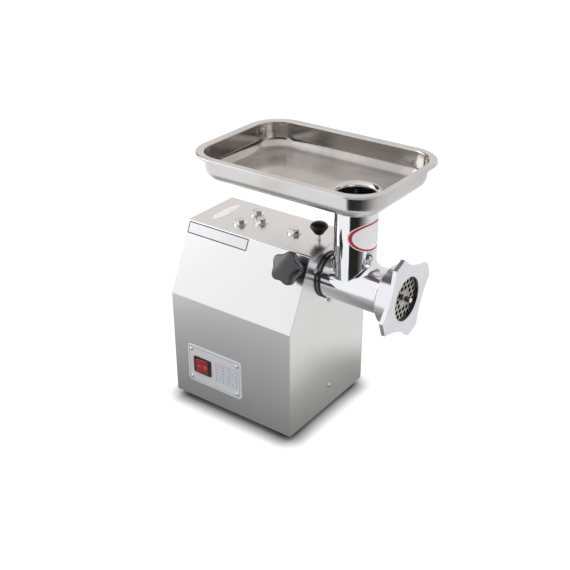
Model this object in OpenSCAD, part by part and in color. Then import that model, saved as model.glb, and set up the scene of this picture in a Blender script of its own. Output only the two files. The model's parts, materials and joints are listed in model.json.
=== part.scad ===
// Electric meat grinder with a size 12 head.
// Rear face of the casing is at the back (-X), the head points to +X, the switch is on the -Y side.
// The origin is on the floor, under the middle of the bounding box.

/* [Casing] */
// Length of the casing, back to front
body_len = 210; // [206:1:225]
// Width of the casing at the base
body_w = 190; // [180:1:196]
// Height of the upright part of the sides
side_h = 168; // [164:1:180]
// Height of the sloping part of the sides
slope_rise = 100; // [96:1:108]
// Width of the flat top
top_w = 97; // [92:1:102]
// Thickness of the casing sheet
sheet_t = 1.2; // [0.8:0.1:1.5]
// Outer radius of the folds
fold_r = 2.2; // [1.8:0.1:3]
// Width of the bottom folds of the side panels
base_fold = 36; // [32:1:42]
// Width of the top folds of the side panels
top_fold = 12; // [8:1:14]
// Depth of the folds of the end panels
end_fold = 9; // [7:1:14]
// Gap between neighbouring sheets
seam = 0.3; // [0.2:0.05:0.5]
// Height of the screws that hold the end panels, above the casing's lower edge
end_screw_z = 34; // [28:1:40]
// Sideways place of the end panel screws
end_screw_y = 5; // [-10:1:10]
// Diameter of the end panel screws
end_screw_d = 4; // [3:0.5:5]

// Length of a cooling slot
vent_len = 34; // [26:1:38]
// Width of a cooling slot
vent_w = 4; // [3:0.5:5]
// Distance from one cooling slot to the next
vent_gap = 10; // [8:0.5:12]
// Height of the lowest slot in the rear panel, above the casing's lower edge
vent_z = 80; // [70:1:88]

/* [Feet] */
// Height of a foot
foot_h = 10; // [8:1:14]
// Diameter of a foot
foot_d = 25; // [20:1:30]
// Distance of the feet from the ends of the casing
foot_in_x = 19; // [17:1:26]
// Distance of the feet from the sides of the casing
foot_in_y = 22; // [18:1:24]
// Diameter of the foot screws
foot_screw_d = 5; // [4:0.5:6]

/* [Top bolts] */
// Thread diameter of the top bolts
bolt_d = 8; // [6:0.5:9]
// Width across flats of the bolt heads
bolt_af = 13; // [11:0.5:14]
// Height of the bolt heads
bolt_head_h = 5; // [4:0.5:7]
// Diameter of the washers
washer_d = 20; // [16:0.5:21]
// Thickness of the washers
washer_t = 2; // [1:0.1:2.2]
// Distance of the rear pair of bolts from the front of the casing
bolt_pair_in = 140.5; // [140:0.5:144]
// Distance between the rear pair of bolts
bolt_pair_w = 40; // [36:1:44]
// Distance of the third bolt from the front of the casing
bolt_mid_in = 118; // [116:0.5:120]
// Distance of the front bolt from the front of the casing
bolt_front_in = 60; // [50:1:75]

/* [Switch and data plate] */
// Distance of the data plate from the rear edge
plate_x = 25.2; // [18:0.2:34]
// Height of the data plate's lower edge above the casing's lower edge
plate_z = 29.4; // [26:0.2:38]
// Length of the data plate
plate_len = 100; // [94:0.2:106]
// Height of the data plate
plate_h = 62.6; // [58:0.2:68]
// Thickness of the data plate
plate_t = 0.8; // [0.5:0.1:1.2]
// Corner radius of the data plate
plate_r = 6; // [3:0.5:9]
// Distance of the rivets from the plate's edges
rivet_in = 7.6; // [6:0.1:8.5]
// Diameter of the rivet heads
rivet_d = 5.5; // [4:0.5:6]
// Distance of the switch centre from the data plate's rear edge
switch_in_x = 28.5; // [27:0.1:32]
// Distance of the switch centre from the data plate's lower edge
switch_in_z = 32.1; // [30:0.1:33]
// Length of the switch frame
frame_len = 32; // [30:0.5:34]
// Height of the switch frame
frame_h = 27; // [26:0.5:30]
// Thickness of the switch frame
frame_t = 2; // [1.5:0.1:2.4]
// Length of the rocker
rocker_len = 24; // [22:0.5:25]
// Height of the rocker
rocker_h = 21.6; // [20:0.2:22]
// Tilt of the rocker on each side of its middle
rocker_tilt = 7; // [5:0.5:8]

/* [Cord inlet] */
// Diameter of the cord that the inlet takes
cord_d = 7.5; // [6:0.5:9]
// Distance that the inlet stands out of the rear panel
gland_out = 18; // [14:1:22]
// Width across flats of the inlet body
gland_af = 22; // [20:0.5:24]
// Distance of the inlet from the far side of the casing
gland_in_y = 35; // [29:1:45]
// Height of the inlet above the casing's lower edge
gland_z = 36; // [30:1:50]

/* [Head] */
// Depth of the head axis below the top of the casing
axis_drop = 47; // [46.5:0.1:49]
// Outer diameter of the head's barrel
barrel_d = 63.4; // [61:0.2:65]
// Bore of the barrel
barrel_bore = 53; // [52:0.2:54.4]
// Diameter of the spigot that fits in the nose
spigot_d = 52; // [50:0.2:54]
// Length of the spigot
spigot_len = 38; // [34:1:40]
// Distance of the throat axis in front of the casing
throat_x = 39.3; // [38:0.1:44]
// Outer diameter of the throat
throat_d = 58; // [57:0.2:59]
// Bore of the throat
throat_bore = 52.6; // [51.6:0.2:53.4]
// Height of the band at the throat's mouth
mouth_h = 25; // [18:1:30]
// Amount that the mouth band stands out
mouth_out = 1.8; // [1:0.1:2.4]
// Radius of the fillet between the throat and the barrel
neck_r = 15; // [11:0.5:16]
// Distance from the casing to the seat of the cutting plate's front face
plate_front_x = 117.6; // [116:0.2:122]
// Diameter of the barrel's threaded flange
thread_d = 74.6; // [73.4:0.2:75.6]

/* [Auger, knife and plate] */
// Clearance between the auger flight and the barrel
auger_gap = 0.5; // [0.3:0.1:0.8]
// Diameter of the auger journal
journal_d = 22; // [20:0.5:24]
// Core diameter of the auger at its rear
core_rear_d = 27; // [25:0.5:29]
// Core diameter of the auger at its front
core_front_d = 22; // [20:0.5:24]
// Number of turns of the flight
flight_turns = 3; // [2:0.5:3.5]
// Thickness of the flight at its edge
flight_t = 4; // [3:0.5:5]
// Width across flats of the drive tang
tang_af = 15; // [13:0.5:16]
// Width across flats of the knife square
knife_af = 12; // [10:0.5:13]
// Diameter of the front stud
stud_d = 7.6; // [7:0.2:8.4]
// Distance that the stud stands out of the cutting plate
stud_out = 10.4; // [8:0.2:12]
// Diameter of the cutting plate
disc_d = 70; // [69:0.2:70.4]
// Thickness of the cutting plate
disc_t = 8; // [7:0.2:9]
// Diameter of the holes in the cutting plate
disc_hole_d = 6; // [4:0.2:6.4]
// Spacing of the holes in the cutting plate
disc_pitch = 8.8; // [8.4:0.1:9.2]
// Turn of the hole pattern
disc_tilt = -5; // [-30:1:30]
// Thickness of the knife
knife_t = 7.4; // [6:0.2:8]

/* [Ring nut] */
// Diameter of the opening in the ring nut
nut_open_d = 59.8; // [57:0.2:62]
// Outer diameter of the nut's skirt
nut_skirt_d = 81.2; // [80:0.2:84]
// Length of the nut's skirt
nut_skirt_len = 20.4; // [18:0.2:22]
// Thickness of the lobed plate
nut_plate_t = 6; // [5:0.5:8]
// Diameter over the tips of the lobes
nut_tip_d = 124; // [116:0.2:126]
// Distance between the flat ends of opposite lobes
nut_flat = 122; // [114:0.2:122]
// Width of the nut at the deepest points of its valleys
nut_waist = 90.8; // [88:0.2:96]
// Radius of the valleys
nut_scoop_r = 115; // [80:1:140]
// Turn of the lobes in the drawn position
lobe_tilt = 20.5; // [0:0.5:45]

/* [Feed tray] */
// Length of the tray
tray_len = 294; // [274:0.5:312]
// Width of the tray
tray_w = 201.8; // [200:0.2:220]
// Depth of the tray
tray_depth = 35.3; // [30:0.5:42]
// Thickness of the tray's sheet
tray_t = 1; // [0.8:0.1:1.2]
// Outer corner radius of the tray
tray_r = 50; // [46:1:56]
// Width of the tray's rim
tray_rim = 11.5; // [9:0.5:13]
// Distance that the tray's wall leans in between the rim and the floor
tray_lean = 2.6; // [2:0.5:6]
// Radius between the tray's wall and floor
tray_bend = 14; // [12:0.5:20]
// Height of the tray floor above the head axis
tray_floor = 134.3; // [128:0.5:142]
// Distance of the tray centre behind the throat axis
tray_back = 66.6; // [60:0.2:72]
// Outer diameter of the tray's spout
spout_d = 52; // [51:0.1:52]
// Length of the tray's spout
spout_len = 30; // [24:1:36]

/* [Clamp knob and locking pin] */
// Distance of the clamp knob and the locking pin from the front of the casing
lock_in = 19; // [17:0.5:22]
// Radius of the clamp knob at its lobes
knob_r = 23.3; // [21:0.1:26]
// Depth of the valleys between the lobes
knob_valley = 4.6; // [3:0.1:6]
// Thickness of the clamp knob
knob_t = 15; // [12:0.5:18]
// Distance from the casing to the outer face of the clamp knob
knob_off = 28; // [25:0.5:32]
// Diameter of the clamp screw
clamp_d = 8; // [7:0.5:8]
// Travel of the clamp screw
clamp_travel = 5; // [3:0.5:6]
// Diameter of the locking pin
pin_d = 5.6; // [5:0.1:6.4]
// Diameter of the ball knob
ball_d = 25; // [22:0.5:28]
// Height of the ball knob
ball_h = 18; // [15:0.1:24]
// Height of the ball knob above the casing
ball_up = 9.5; // [8:0.5:13]
// Travel of the locking pin
pin_travel = 5; // [3:0.5:6]
// Diameter of the hole for the locking pin in the top plate
pin_hole_d = 10.2; // [9.4:0.2:10.8]

/* [Gears] */
// Module of the first gear pair
module_1 = 1.5; // [1.4:0.05:1.55]
// Module of the second gear pair
module_2 = 2; // [1.9:0.05:2.05]
// Teeth of the motor pinion
pinion_1_teeth = 14; // [13:1:16]
// Teeth of the idler gear
gear_1_teeth = 56; // [52:1:57]
// Teeth of the idler pinion
pinion_2_teeth = 14; // [13:1:15]
// Teeth of the output gear
gear_2_teeth = 34; // [32:1:35]
// Width of the first gear pair
face_1 = 12; // [10:0.5:13]
// Width of the second gear pair
face_2 = 16; // [14:0.5:17]
// Amount taken off each tooth flank as backlash
backlash = 0.12; // [0.1:0.01:0.18]
// Wall of the gear case
case_wall = 4.5; // [4:0.1:5.5]
// Distance of the gear cover from the front of the casing
case_in = 166; // [165:1:168]

/* [Motor] */
// Outer diameter of the motor
motor_d = 112; // [104:1:114]
// Length of the motor can
can_len = 72; // [66:1:74]
// Diameter of the motor shaft
shaft_d = 12; // [11:0.5:13]
// Diameter of the rotor
rotor_d = 64; // [60:1:68]
// Length of the iron stacks
stack_len = 52; // [46:1:54]
// Diameter of the cooling fan
fan_d = 90; // [80:1:98]
// Number of fan blades
fan_blades = 9; // [7:1:12]

/* [Hidden] */
$fn = 64;

// Clearances
run = 0.06;      // a shaft or pin that turns or slides in its bore
free = 0.3;      // two pieces that pass or face each other
seat = 0.04;     // a ring that is pressed into its seat
eps = 0.01;      // how far a cutter reaches past a face

// Levels and places of the casing
base_z = foot_h;
knee_z = base_z + side_h;
top_z = knee_z + slope_rise;
under_z = top_z - sheet_t;
floor_z = base_z + 2 * sheet_t;
axis_z = top_z - axis_drop;
slope_run = (body_w - top_w) / 2;
gland_y = body_w / 2 - gland_in_y;
slope_len = norm([slope_run, slope_rise]);
slope_ny = slope_rise / slope_len;
slope_nz = slope_run / slope_len;
inner_x = body_len - sheet_t;

// Gear train
centres_1 = module_1 * (pinion_1_teeth + gear_1_teeth) / 2;
centres_2 = module_2 * (pinion_2_teeth + gear_2_teeth) / 2;
idler_z = axis_z - centres_2;
motor_z = idler_z - centres_1;
tip_1 = module_1 * gear_1_teeth / 2 + module_1;
tip_2 = module_2 * gear_2_teeth / 2 + module_2;
tooth_gap = 1.5;
cover_t = 6;
case_x = body_len - case_in;
gear_1_x = case_x + cover_t + 4;
gear_2_x = gear_1_x + face_1 + 3;
wall_x = gear_2_x + face_2 + 1;
wall_t = 10;
nose_x = wall_x + wall_t;
screw_boss_d = 11;
cover_screw_d = 4;
cover_boss_len = 24;

// Bearings as [bore, outside diameter, width]
small_bearing = [shaft_d, shaft_d + 20, 10];
big_bearing = [25, spigot_d, 15];
idler_land_d = 18;
output_land_d = 22;
nose_bore = spigot_d + 2 * run;
nose_d = spigot_d + 14;
front_bearing_x = nose_x + 39;
seal_x = front_bearing_x + big_bearing[2] + 0.5;
seal_len = 6.5;
nose_screw_angles = [-90, 30, 150];
nose_screw_at = nose_d / 2 + 7;
socket_d = 38;
socket_x = seal_x - 0.2;
socket_len = 15.5;
socket_depth = 12.5;

// Motor, from its face on the gear case
bell_t = 10;
can_x = nose_x + bell_t;
fan_bell_x = can_x + can_len;
can_t = 2;
stack_x = can_x + (can_len - stack_len) / 2;
fan_x = fan_bell_x + bell_t + 2;
fan_len = 8;
shaft_rear = gear_1_x - 0.5;
register_d = small_bearing[1] + 8;
slot_count = 24;
slot_d = 6;
slot_at = rotor_d / 2 + 7;
tie_d = 5;
tie_at = motor_d / 2 + tie_d / 2 + 1;

// Head
spigot_x = body_len - spigot_len;
shoulder_x = body_len + free;
throat_at = body_len + throat_x;
disc_front = body_len + plate_front_x;
disc_rear = disc_front - disc_t;
knife_x = disc_rear - free - knife_t;
recess_x = knife_x - 1;
barrel_front = disc_front - 3.6;
nut_front = disc_front + 4;
nut_rear = nut_front - nut_plate_t - nut_skirt_len;
nut_bore = thread_d + 2 * free;
flange_rear = nut_rear + 2;
recess_d = disc_d + 2 * free;
stud_tip = disc_front + stud_out;
stud_step = 0.35;
stud_round = 1.6;
scroll_x = shoulder_x + 4;
washer_len = 2.5;
flight_x = scroll_x + washer_len;
flight_len = knife_x - 1.5 - flight_x;
flight_r = barrel_bore / 2 - auger_gap;
tang_x = spigot_x - 18;
tang_len = 12.5;
ring_x = shoulder_x + 1;
ring_w = 4;
ring_out = 1.6;
neck_rear_r = throat_at - throat_d / 2 - ring_x - ring_w - 0.4;

// Locks
lock_x = body_len - lock_in;
clamp_angle = 90 - atan(slope_run / slope_rise);
slope_off = slope_ny * body_w / 2 + slope_nz * (knee_z - axis_z);
clamp_boss_d = 18;
pin_boss_d = 17;
pad_d = clamp_d + 2;
pad_len = 4;
pad_z = spigot_d / 2 + free;
chamber_z = spigot_d / 2 + 3.5;
bush_len = 4;
bush_z = axis_drop - 0.4 - bush_len;
collar_len = 1.5;
collar_z = chamber_z + free;
spring_d = 9.4;
spring_wire = 1;

// Tray
tray_z = axis_z + tray_floor;
tray_under = tray_z - tray_t;
rim_z = tray_z + tray_depth;
lip_r = 7;
bead_h = 1.2;
collar_top = tray_z + bead_h - lip_r - 2;
mouth_top = tray_under - 0.6;

// Switch
switch_x = plate_x + switch_in_x;
switch_z = base_z + plate_z + switch_in_z;
frame_y = -body_w / 2 - plate_t;
rocker_r = rocker_len / 2;
rocker_pivot = frame_y + 2.2;
switch_body_len = rocker_len + 3;
switch_body_h = rocker_h + 2.4;
switch_depth = 22;
trunnion_d = 3;

// Bounding box along X, whose middle is the origin
mid_x = (stud_tip - gland_out) / 2;

// ---------------------------------------------------------------- functions

function unit(v) = v / norm(v);
function left_of(a, b) = let(u = unit(b - a)) [-u[1], u[0]];
function reversed(p) = [for (i = [len(p) - 1:-1:0]) p[i]];
function polar(r, a) = r * [cos(a), sin(a)];
function arc(c, r, a0, a1, n = 8) = [for (i = [0:n]) c + polar(r, a0 + (a1 - a0) * i / n)];

// Open path moved to its left by t, with mitred corners
function moved(p, t) = [for (i = [0:len(p) - 1])
    let(n1 = left_of(p[max(i - 1, 0)], p[max(i, 1)]),
        n2 = left_of(p[min(i, len(p) - 2)], p[min(i + 1, len(p) - 1)]))
    p[i] + (n1 + n2) * t / (1 + n1 * n2)];

// Closed outline of a sheet of thickness t to the left of an open path
function sheet(p, t) = concat(p, reversed(moved(p, t)));

// Arc of radius r that replaces the corner b between a and c
function bend(a, b, c, r, n = 5) =
    let(u = unit(a - b), v = unit(c - b), half = acos(u * v) / 2,
        m = b + unit(u + v) * r / sin(half),
        s = b + u * r / tan(half) - m,
        e = b + v * r / tan(half) - m,
        a0 = atan2(s[1], s[0]),
        turn = (atan2(e[1], e[0]) - a0 + 900) % 360 - 180)
    arc(m, r, a0, a0 + turn, n);

// Open path with its inner corners rounded, each by its own radius
function rounded(p, radii) = [for (i = [0:len(p) - 1])
    each (i == 0 || i == len(p) - 1 ? [p[i]] : bend(p[i - 1], p[i], p[i + 1], radii[i - 1]))];

// Half width of the casing at height z, for a skin that lies d inside the outer faces
function slope_y(z, d) = (slope_ny * body_w / 2 + slope_nz * (knee_z - z) - d) / slope_ny;
function knee_at(d) = knee_z - d * (1 - slope_ny) / slope_nz;

// Cross-section of the casing, d inside its outer faces, between two levels
function casing_loop(d, low, high) = [
    [-body_w / 2 + d, low], [-body_w / 2 + d, knee_at(d)], [-slope_y(high, d), high],
    [slope_y(high, d), high], [body_w / 2 - d, knee_at(d)], [body_w / 2 - d, low]];

// Involute angle in degrees, and the half angle of a tooth at radius r
function involute(a) = tan(a) * 180 / PI - a;
function tooth_half(r, rp, n) =
    let(rb = rp * cos(20))
    90 / n + involute(20) - involute(acos(min(1, rb / max(r, rb)))) - backlash / rp * 180 / PI;

// Outline of a spur gear of module m with n teeth, one tooth centred at angle phase
function gear_outline(m, n, phase) =
    let(rp = m * n / 2, tip = rp + 0.87 * m, root = rp - 1.2 * m, low = max(root + 0.01, rp * cos(20)))
    [for (i = [0:n - 1]) let(a = phase + 360 * i / n)
        for (k = [[root, -1], [low, -1], [rp, -1], [tip, -1], [tip, 1], [rp, 1], [low, 1], [root, 1]])
            polar(k[0], a + k[1] * tooth_half(k[0], rp, n))];

// ---------------------------------------------------------------- placing

module in_place() { translate([-mid_x, 0, 0]) children(); }
module on_axis(z = axis_z) { in_place() translate([0, 0, z]) children(); }

// Extrudes an outline drawn in Y and Z along X, from x on
module along_x(x, len) { translate([x, 0, 0]) rotate([90, 0, 90]) linear_extrude(len) children(); }

// Turns a profile of [radius, x] points about the X axis
module turned(points) { rotate([0, 90, 0]) rotate_extrude($fn = 96) polygon(points); }
module rod_x(d, x, len) { translate([x, 0, 0]) rotate([0, 90, 0]) cylinder(d = d, h = len); }
module tube_x(d_in, d_out, x, len) {
    translate([x, 0, 0]) rotate([0, 90, 0]) difference() {
        cylinder(d = d_out, h = len);
        translate([0, 0, -eps]) cylinder(d = d_in, h = len + 2 * eps);
    }
}
module square_x(af, x, len) { translate([x, -af / 2, -af / 2]) cube([len, af, af]); }
module mirrored_y() { children(); mirror([0, 1, 0]) children(); }

// Local frame of the clamp screw: +Z leaves the casing, square to the slope
module on_clamp() { on_axis() translate([lock_x, 0, 0]) rotate([clamp_angle, 0, 0]) children(); }
module on_pin() { on_axis() translate([lock_x, 0, 0]) children(); }

module at_feet() {
    for (x = [foot_in_x, body_len - foot_in_x], y = [-1, 1])
        translate([x, y * (body_w / 2 - foot_in_y), 0]) children();
}
module at_top_bolts() {
    for (p = [[bolt_pair_in, -bolt_pair_w / 2], [bolt_pair_in, bolt_pair_w / 2], [bolt_mid_in, 0],
              [bolt_front_in, 0]])
        translate([body_len - p[0], p[1], 0]) children();
}
module at_rivets() {
    for (x = [plate_x + rivet_in, plate_x + plate_len - rivet_in],
         z = [plate_z + rivet_in, plate_z + plate_h - rivet_in])
        translate([x, -body_w / 2, base_z + z]) rotate([90, 0, 0]) children();
}

module at_nose_screws() {
    for (a = nose_screw_angles)
        translate([0, nose_screw_at * cos(a), axis_z + nose_screw_at * sin(a)]) children();
}

// Screws of the gear cover as [y, z]
cover_points = let(r1 = tip_2 + tooth_gap + 7, r2 = tip_1 + tooth_gap + 6)
    [for (s = [-1, 1]) each [
        [s * r1 * cos(28), axis_z + r1 * sin(28)],
        [s * r2 * cos(8), idler_z + r2 * sin(8)],
        [s * r2 * cos(40), idler_z - r2 * sin(40)]]];
module at_cover_screws() { for (p = cover_points) translate([0, p[0], p[1]]) children(); }

// ---------------------------------------------------------------- casing

// Outer face of the near side, from the end of its top fold to the end of its bottom fold
side_path = [
    [-slope_y(under_z, 0) + top_fold, under_z], [-slope_y(under_z, 0), under_z],
    [-body_w / 2, knee_z], [-body_w / 2, base_z], [-body_w / 2 + base_fold, base_z]];

module side_sheet() {
    difference() {
        along_x(0, body_len) polygon(sheet(rounded(side_path, [fold_r, 2 * fold_r, fold_r]), sheet_t));
        for (x = [-eps, body_len - sheet_t - seam])
            along_x(x, sheet_t + seam + eps)
                polygon(casing_loop(sheet_t, base_z - 1, under_z + 1));
        at_feet() translate([0, 0, base_z - 1]) cylinder(d = foot_screw_d + 0.6, h = sheet_t + 2);
    }
}

module near_side_panel() {
    color("silver") in_place() difference() {
        side_sheet();
        // switch cut-out
        translate([switch_x - switch_body_len / 2 - free, -body_w / 2 - 1,
                switch_z - switch_body_h / 2 - free])
            cube([switch_body_len + 2 * free, sheet_t + 2, switch_body_h + 2 * free]);
        at_rivets() translate([0, 0, -sheet_t - 1]) cylinder(d = rivet_d / 2 + 0.2, h = sheet_t + 2);
        translate([lock_x, 0, axis_z]) rotate([clamp_angle, 0, 0])
            translate([0, 0, slope_off - 4]) cylinder(d = clamp_d + 2, h = 8);
    }
}

module far_side_panel() { color("silver") in_place() mirror([0, 1, 0]) side_sheet(); }

module top_plate() {
    color("silver") in_place() difference() {
        translate([0, -top_w / 2, under_z]) cube([body_len, top_w, sheet_t]);
        at_top_bolts() translate([0, 0, under_z - 1]) cylinder(d = bolt_d + 0.6, h = sheet_t + 2);
        translate([lock_x, 0, under_z - 1]) cylinder(d = pin_hole_d, h = sheet_t + 2);
    }
}

// End panel whose outer face is at x = 0 and whose folds point to +X
module end_sheet() {
    d = sheet_t + seam;
    high = under_z - seam;
    fold_low = floor_z + 6;
    fold_high = high - 8;
    along_x(0, sheet_t) polygon(casing_loop(d, base_z, high));
    mirrored_y() along_x(sheet_t - eps, end_fold)
        polygon(sheet(rounded([[-slope_y(fold_high, d), fold_high],
            [-body_w / 2 + d, knee_at(d)], [-body_w / 2 + d, fold_low]], [2 * fold_r]), sheet_t));
}

module end_screw_hole() {
    translate([-1, end_screw_y, base_z + end_screw_z]) rod_x(end_screw_d + 0.4, 0, 8);
}

module front_panel() {
    color("silver") in_place() difference() {
        translate([body_len, 0, 0]) mirror([1, 0, 0]) end_sheet();
        translate([0, 0, axis_z]) rod_x(spigot_d + 3, inner_x - 1, sheet_t + 2);
        at_nose_screws() rod_x(end_screw_d + 0.4, inner_x - 1, sheet_t + 2);
        translate([body_len, 0, 0]) mirror([1, 0, 0]) end_screw_hole();
        // the fold is cut away round the boss of the clamp screw
        translate([lock_x, 0, axis_z]) rotate([clamp_angle, 0, 0])
            cylinder(d = clamp_boss_d + 2, h = slope_off);
    }
}

module vent(x0, x1) {
    for (s = [-1, 1]) translate([0, s * (vent_len - vent_w) / 2, 0]) rod_x(vent_w, x0, x1 - x0);
    translate([x0, -(vent_len - vent_w) / 2, -vent_w / 2]) cube([x1 - x0, vent_len - vent_w, vent_w]);
}

module rear_panel() {
    color("silver") in_place() difference() {
        end_sheet();
        end_screw_hole();
        translate([0, gland_y, base_z + gland_z]) rod_x(cord_d + 8.6, -1, sheet_t + 2);
        // cooling slots
        for (i = [0:5], s = [-1, 1])
            translate([0, s * (vent_len / 2 + 6), base_z + vent_z + vent_gap * i]) vent(-1, sheet_t + 1);
    }
}

module base_plate() {
    x0 = sheet_t + seam;
    half = body_w / 2 - fold_r - 1;
    tab_w = 36;
    tab_h = end_screw_z + 8;
    color("lightgray") in_place() difference() {
        union() {
            translate([x0, -half, base_z + sheet_t]) cube([body_len - 2 * x0, 2 * half, sheet_t]);
            // tabs that take the end panel screws
            for (x = [x0, body_len - x0 - sheet_t])
                translate([x, end_screw_y - tab_w / 2, base_z + sheet_t]) cube([sheet_t, tab_w, tab_h]);
        }
        at_feet() translate([0, 0, base_z]) cylinder(d = foot_screw_d + 0.4, h = 4 * sheet_t);
        for (x = [0, body_len - 8])
            translate([x, end_screw_y, base_z + end_screw_z]) rod_x(end_screw_d + 0.2, 0, 8);
        // cooling slots under the motor
        for (i = [-2:2])
            translate([can_x + can_len / 2 + vent_gap * i, 0, base_z])
                for (s = [-1, 1]) translate([-vent_w / 2, s * (vent_len / 2 + 3) - vent_len / 2, 0])
                    cube([vent_w, vent_len, 4 * sheet_t]);
    }
}

// Pan head screw along -X from its head at x = 0
module screw_x(d, len) {
    turned([[0, -len], [d / 2, -len], [d / 2, 0], [0.95 * d, 0], [0.95 * d, 0.25 * d],
        [0.6 * d, 0.55 * d], [0, 0.6 * d]]);
}

module panel_screws() {
    color("gainsboro") in_place() {
        translate([body_len, end_screw_y, base_z + end_screw_z]) screw_x(end_screw_d, 6);
        translate([0, end_screw_y, base_z + end_screw_z]) rotate([0, 0, 180]) screw_x(end_screw_d, 6);
        translate([body_len, 0, 0]) at_nose_screws() screw_x(end_screw_d, 6);
    }
}

// ---------------------------------------------------------------- feet

module feet() {
    color("black") in_place() at_feet() rotate_extrude() polygon([
        [foot_screw_d / 2 + 0.1, 4], [foot_screw_d + 0.5, 4], [foot_screw_d + 0.5, 0],
        [foot_d / 2 - 2, 0], [foot_d / 2 - 1, 0.6], [foot_d / 2, foot_h], [foot_screw_d / 2 + 0.1, foot_h]]);
}

module foot_screws() {
    color("silver") in_place() at_feet() {
        translate([0, 0, 2]) cylinder(d = 1.8 * foot_screw_d, h = 2);
        translate([0, 0, 4 - eps]) cylinder(d = foot_screw_d, h = floor_z + 5);
    }
}

module foot_nuts() {
    color("silver") in_place() at_feet() translate([0, 0, floor_z]) difference() {
        cylinder(d = 1.8 * foot_screw_d, h = 0.8 * foot_screw_d, $fn = 6);
        translate([0, 0, -1]) cylinder(d = foot_screw_d + 0.2, h = foot_screw_d + 2);
    }
}

// ---------------------------------------------------------------- top bolts

module top_washers() {
    color("gainsboro") in_place() at_top_bolts() translate([0, 0, top_z]) difference() {
        cylinder(d = washer_d, h = washer_t);
        translate([0, 0, -1]) cylinder(d = bolt_d + 0.4, h = washer_t + 2);
    }
}

module top_bolts() {
    head_r = bolt_af / 2 / cos(30);
    thread_len = washer_t + sheet_t + 6;
    color("gainsboro") in_place() at_top_bolts() translate([0, 0, top_z + washer_t]) {
        translate([0, 0, -thread_len]) cylinder(d = bolt_d, h = thread_len + 1);
        intersection() {
            cylinder(r = head_r, h = bolt_head_h, $fn = 6);
            rotate_extrude() polygon([[0, 0], [head_r - 0.3, 0], [head_r, 0.5], [head_r, bolt_head_h - 1],
                [bolt_af / 2 - 0.2, bolt_head_h], [0, bolt_head_h]]);
        }
    }
}

// ---------------------------------------------------------------- switch and data plate

module rounded_plate(len, high, r, t) {
    // flat plate in X and Z whose back is at y = 0 and which grows towards -Y
    rotate([90, 0, 0]) linear_extrude(t) {
        translate([r, 0]) square([len - 2 * r, high]);
        translate([0, r]) square([len, high - 2 * r]);
        for (x = [r, len - r], z = [r, high - r]) translate([x, z]) circle(r = r);
    }
}

module data_plate() {
    color("whitesmoke") in_place() difference() {
        translate([plate_x, -body_w / 2, base_z + plate_z])
            rounded_plate(plate_len, plate_h, plate_r, plate_t);
        translate([switch_x - switch_body_len / 2 - free, -body_w / 2 - plate_t - 1,
                switch_z - switch_body_h / 2 - free])
            cube([switch_body_len + 2 * free, plate_t + 2, switch_body_h + 2 * free]);
        at_rivets() translate([0, 0, -1]) cylinder(d = rivet_d / 2 + 0.2, h = plate_t + 2);
    }
}

module plate_rivets() {
    color("gainsboro") in_place() at_rivets() rotate_extrude($fn = 32) polygon(concat(
        [[0, -sheet_t - 0.6], [rivet_d / 3, -sheet_t - 0.6], [rivet_d / 3, -sheet_t],
         [rivet_d / 4, -sheet_t], [rivet_d / 4, plate_t], [rivet_d / 2, plate_t]],
        arc([0, plate_t], rivet_d / 2, 0, 90, 6)));
}

module switch_body() {
    color("black") in_place() translate([switch_x, frame_y, switch_z]) difference() {
        union() {
            translate([-frame_len / 2, 0, -frame_h / 2]) rounded_plate(frame_len, frame_h, 2, frame_t);
            translate([-switch_body_len / 2, -eps, -switch_body_h / 2])
                cube([switch_body_len, switch_depth, switch_body_h]);
            // terminals
            for (x = [-7, 7], z = [-5, 5])
                translate([x - 3, switch_depth - 1, z - 0.4]) cube([6, 9, 0.8]);
        }
        // well of the rocker, round behind so that the rocker can tip
        translate([0, rocker_pivot - frame_y, -rocker_h / 2 - free]) {
            translate([-rocker_r - free, -12, 0]) cube([2 * (rocker_r + free), 12, rocker_h + 2 * free]);
            cylinder(r = rocker_r + free, h = rocker_h + 2 * free);
        }
        // bearings of the rocker's trunnions
        translate([0, rocker_pivot - frame_y, -rocker_h / 2 - 1])
            cylinder(d = trunnion_d + 2 * run, h = rocker_h + 2);
    }
}

module rocker() {
    // in plan the face is two flats that meet in a shallow valley
    end = rocker_r + 1;
    rise = end * tan(rocker_tilt);
    valley = rocker_pivot - frame_y + frame_t + 0.4;
    color("firebrick") in_place() translate([switch_x, rocker_pivot, switch_z - rocker_h / 2])
        rotate([0, 0, rocker_tilt]) {
            linear_extrude(rocker_h) intersection() {
                circle(r = rocker_r);
                polygon([[-end, -valley - rise], [0, -valley], [end, -valley - rise],
                    [end, 3], [-end, 3]]);
            }
            translate([0, 0, -0.9]) cylinder(d = trunnion_d, h = rocker_h + 1.8);
        }
}

// ---------------------------------------------------------------- cord inlet

module cord_gland() {
    seat_d = cord_d + 8;
    color("dimgray") in_place() translate([0, gland_y, base_z + gland_z]) difference() {
        union() {
            rod_x(seat_d, -eps, 14);
            translate([-6, 0, 0]) rotate([0, 90, 0]) cylinder(d = gland_af / cos(30), h = 6, $fn = 6);
            turned([[0, -gland_out], [seat_d / 2 - 2, -gland_out], [gland_af / 2 - 2, -gland_out + 5],
                [gland_af / 2 - 1, -8], [gland_af / 2 - 1, -6 + eps], [0, -6 + eps]]);
        }
        rod_x(cord_d + 0.6, -gland_out - 1, gland_out + 16);
    }
}

module gland_nut() {
    color("dimgray") in_place() translate([sheet_t, gland_y, base_z + gland_z])
            rotate([0, 90, 0]) difference() {
        cylinder(d = gland_af / cos(30), h = 5, $fn = 6);
        translate([0, 0, -1]) cylinder(d = cord_d + 8.2, h = 7);
    }
}

// ---------------------------------------------------------------- gear case

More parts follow.
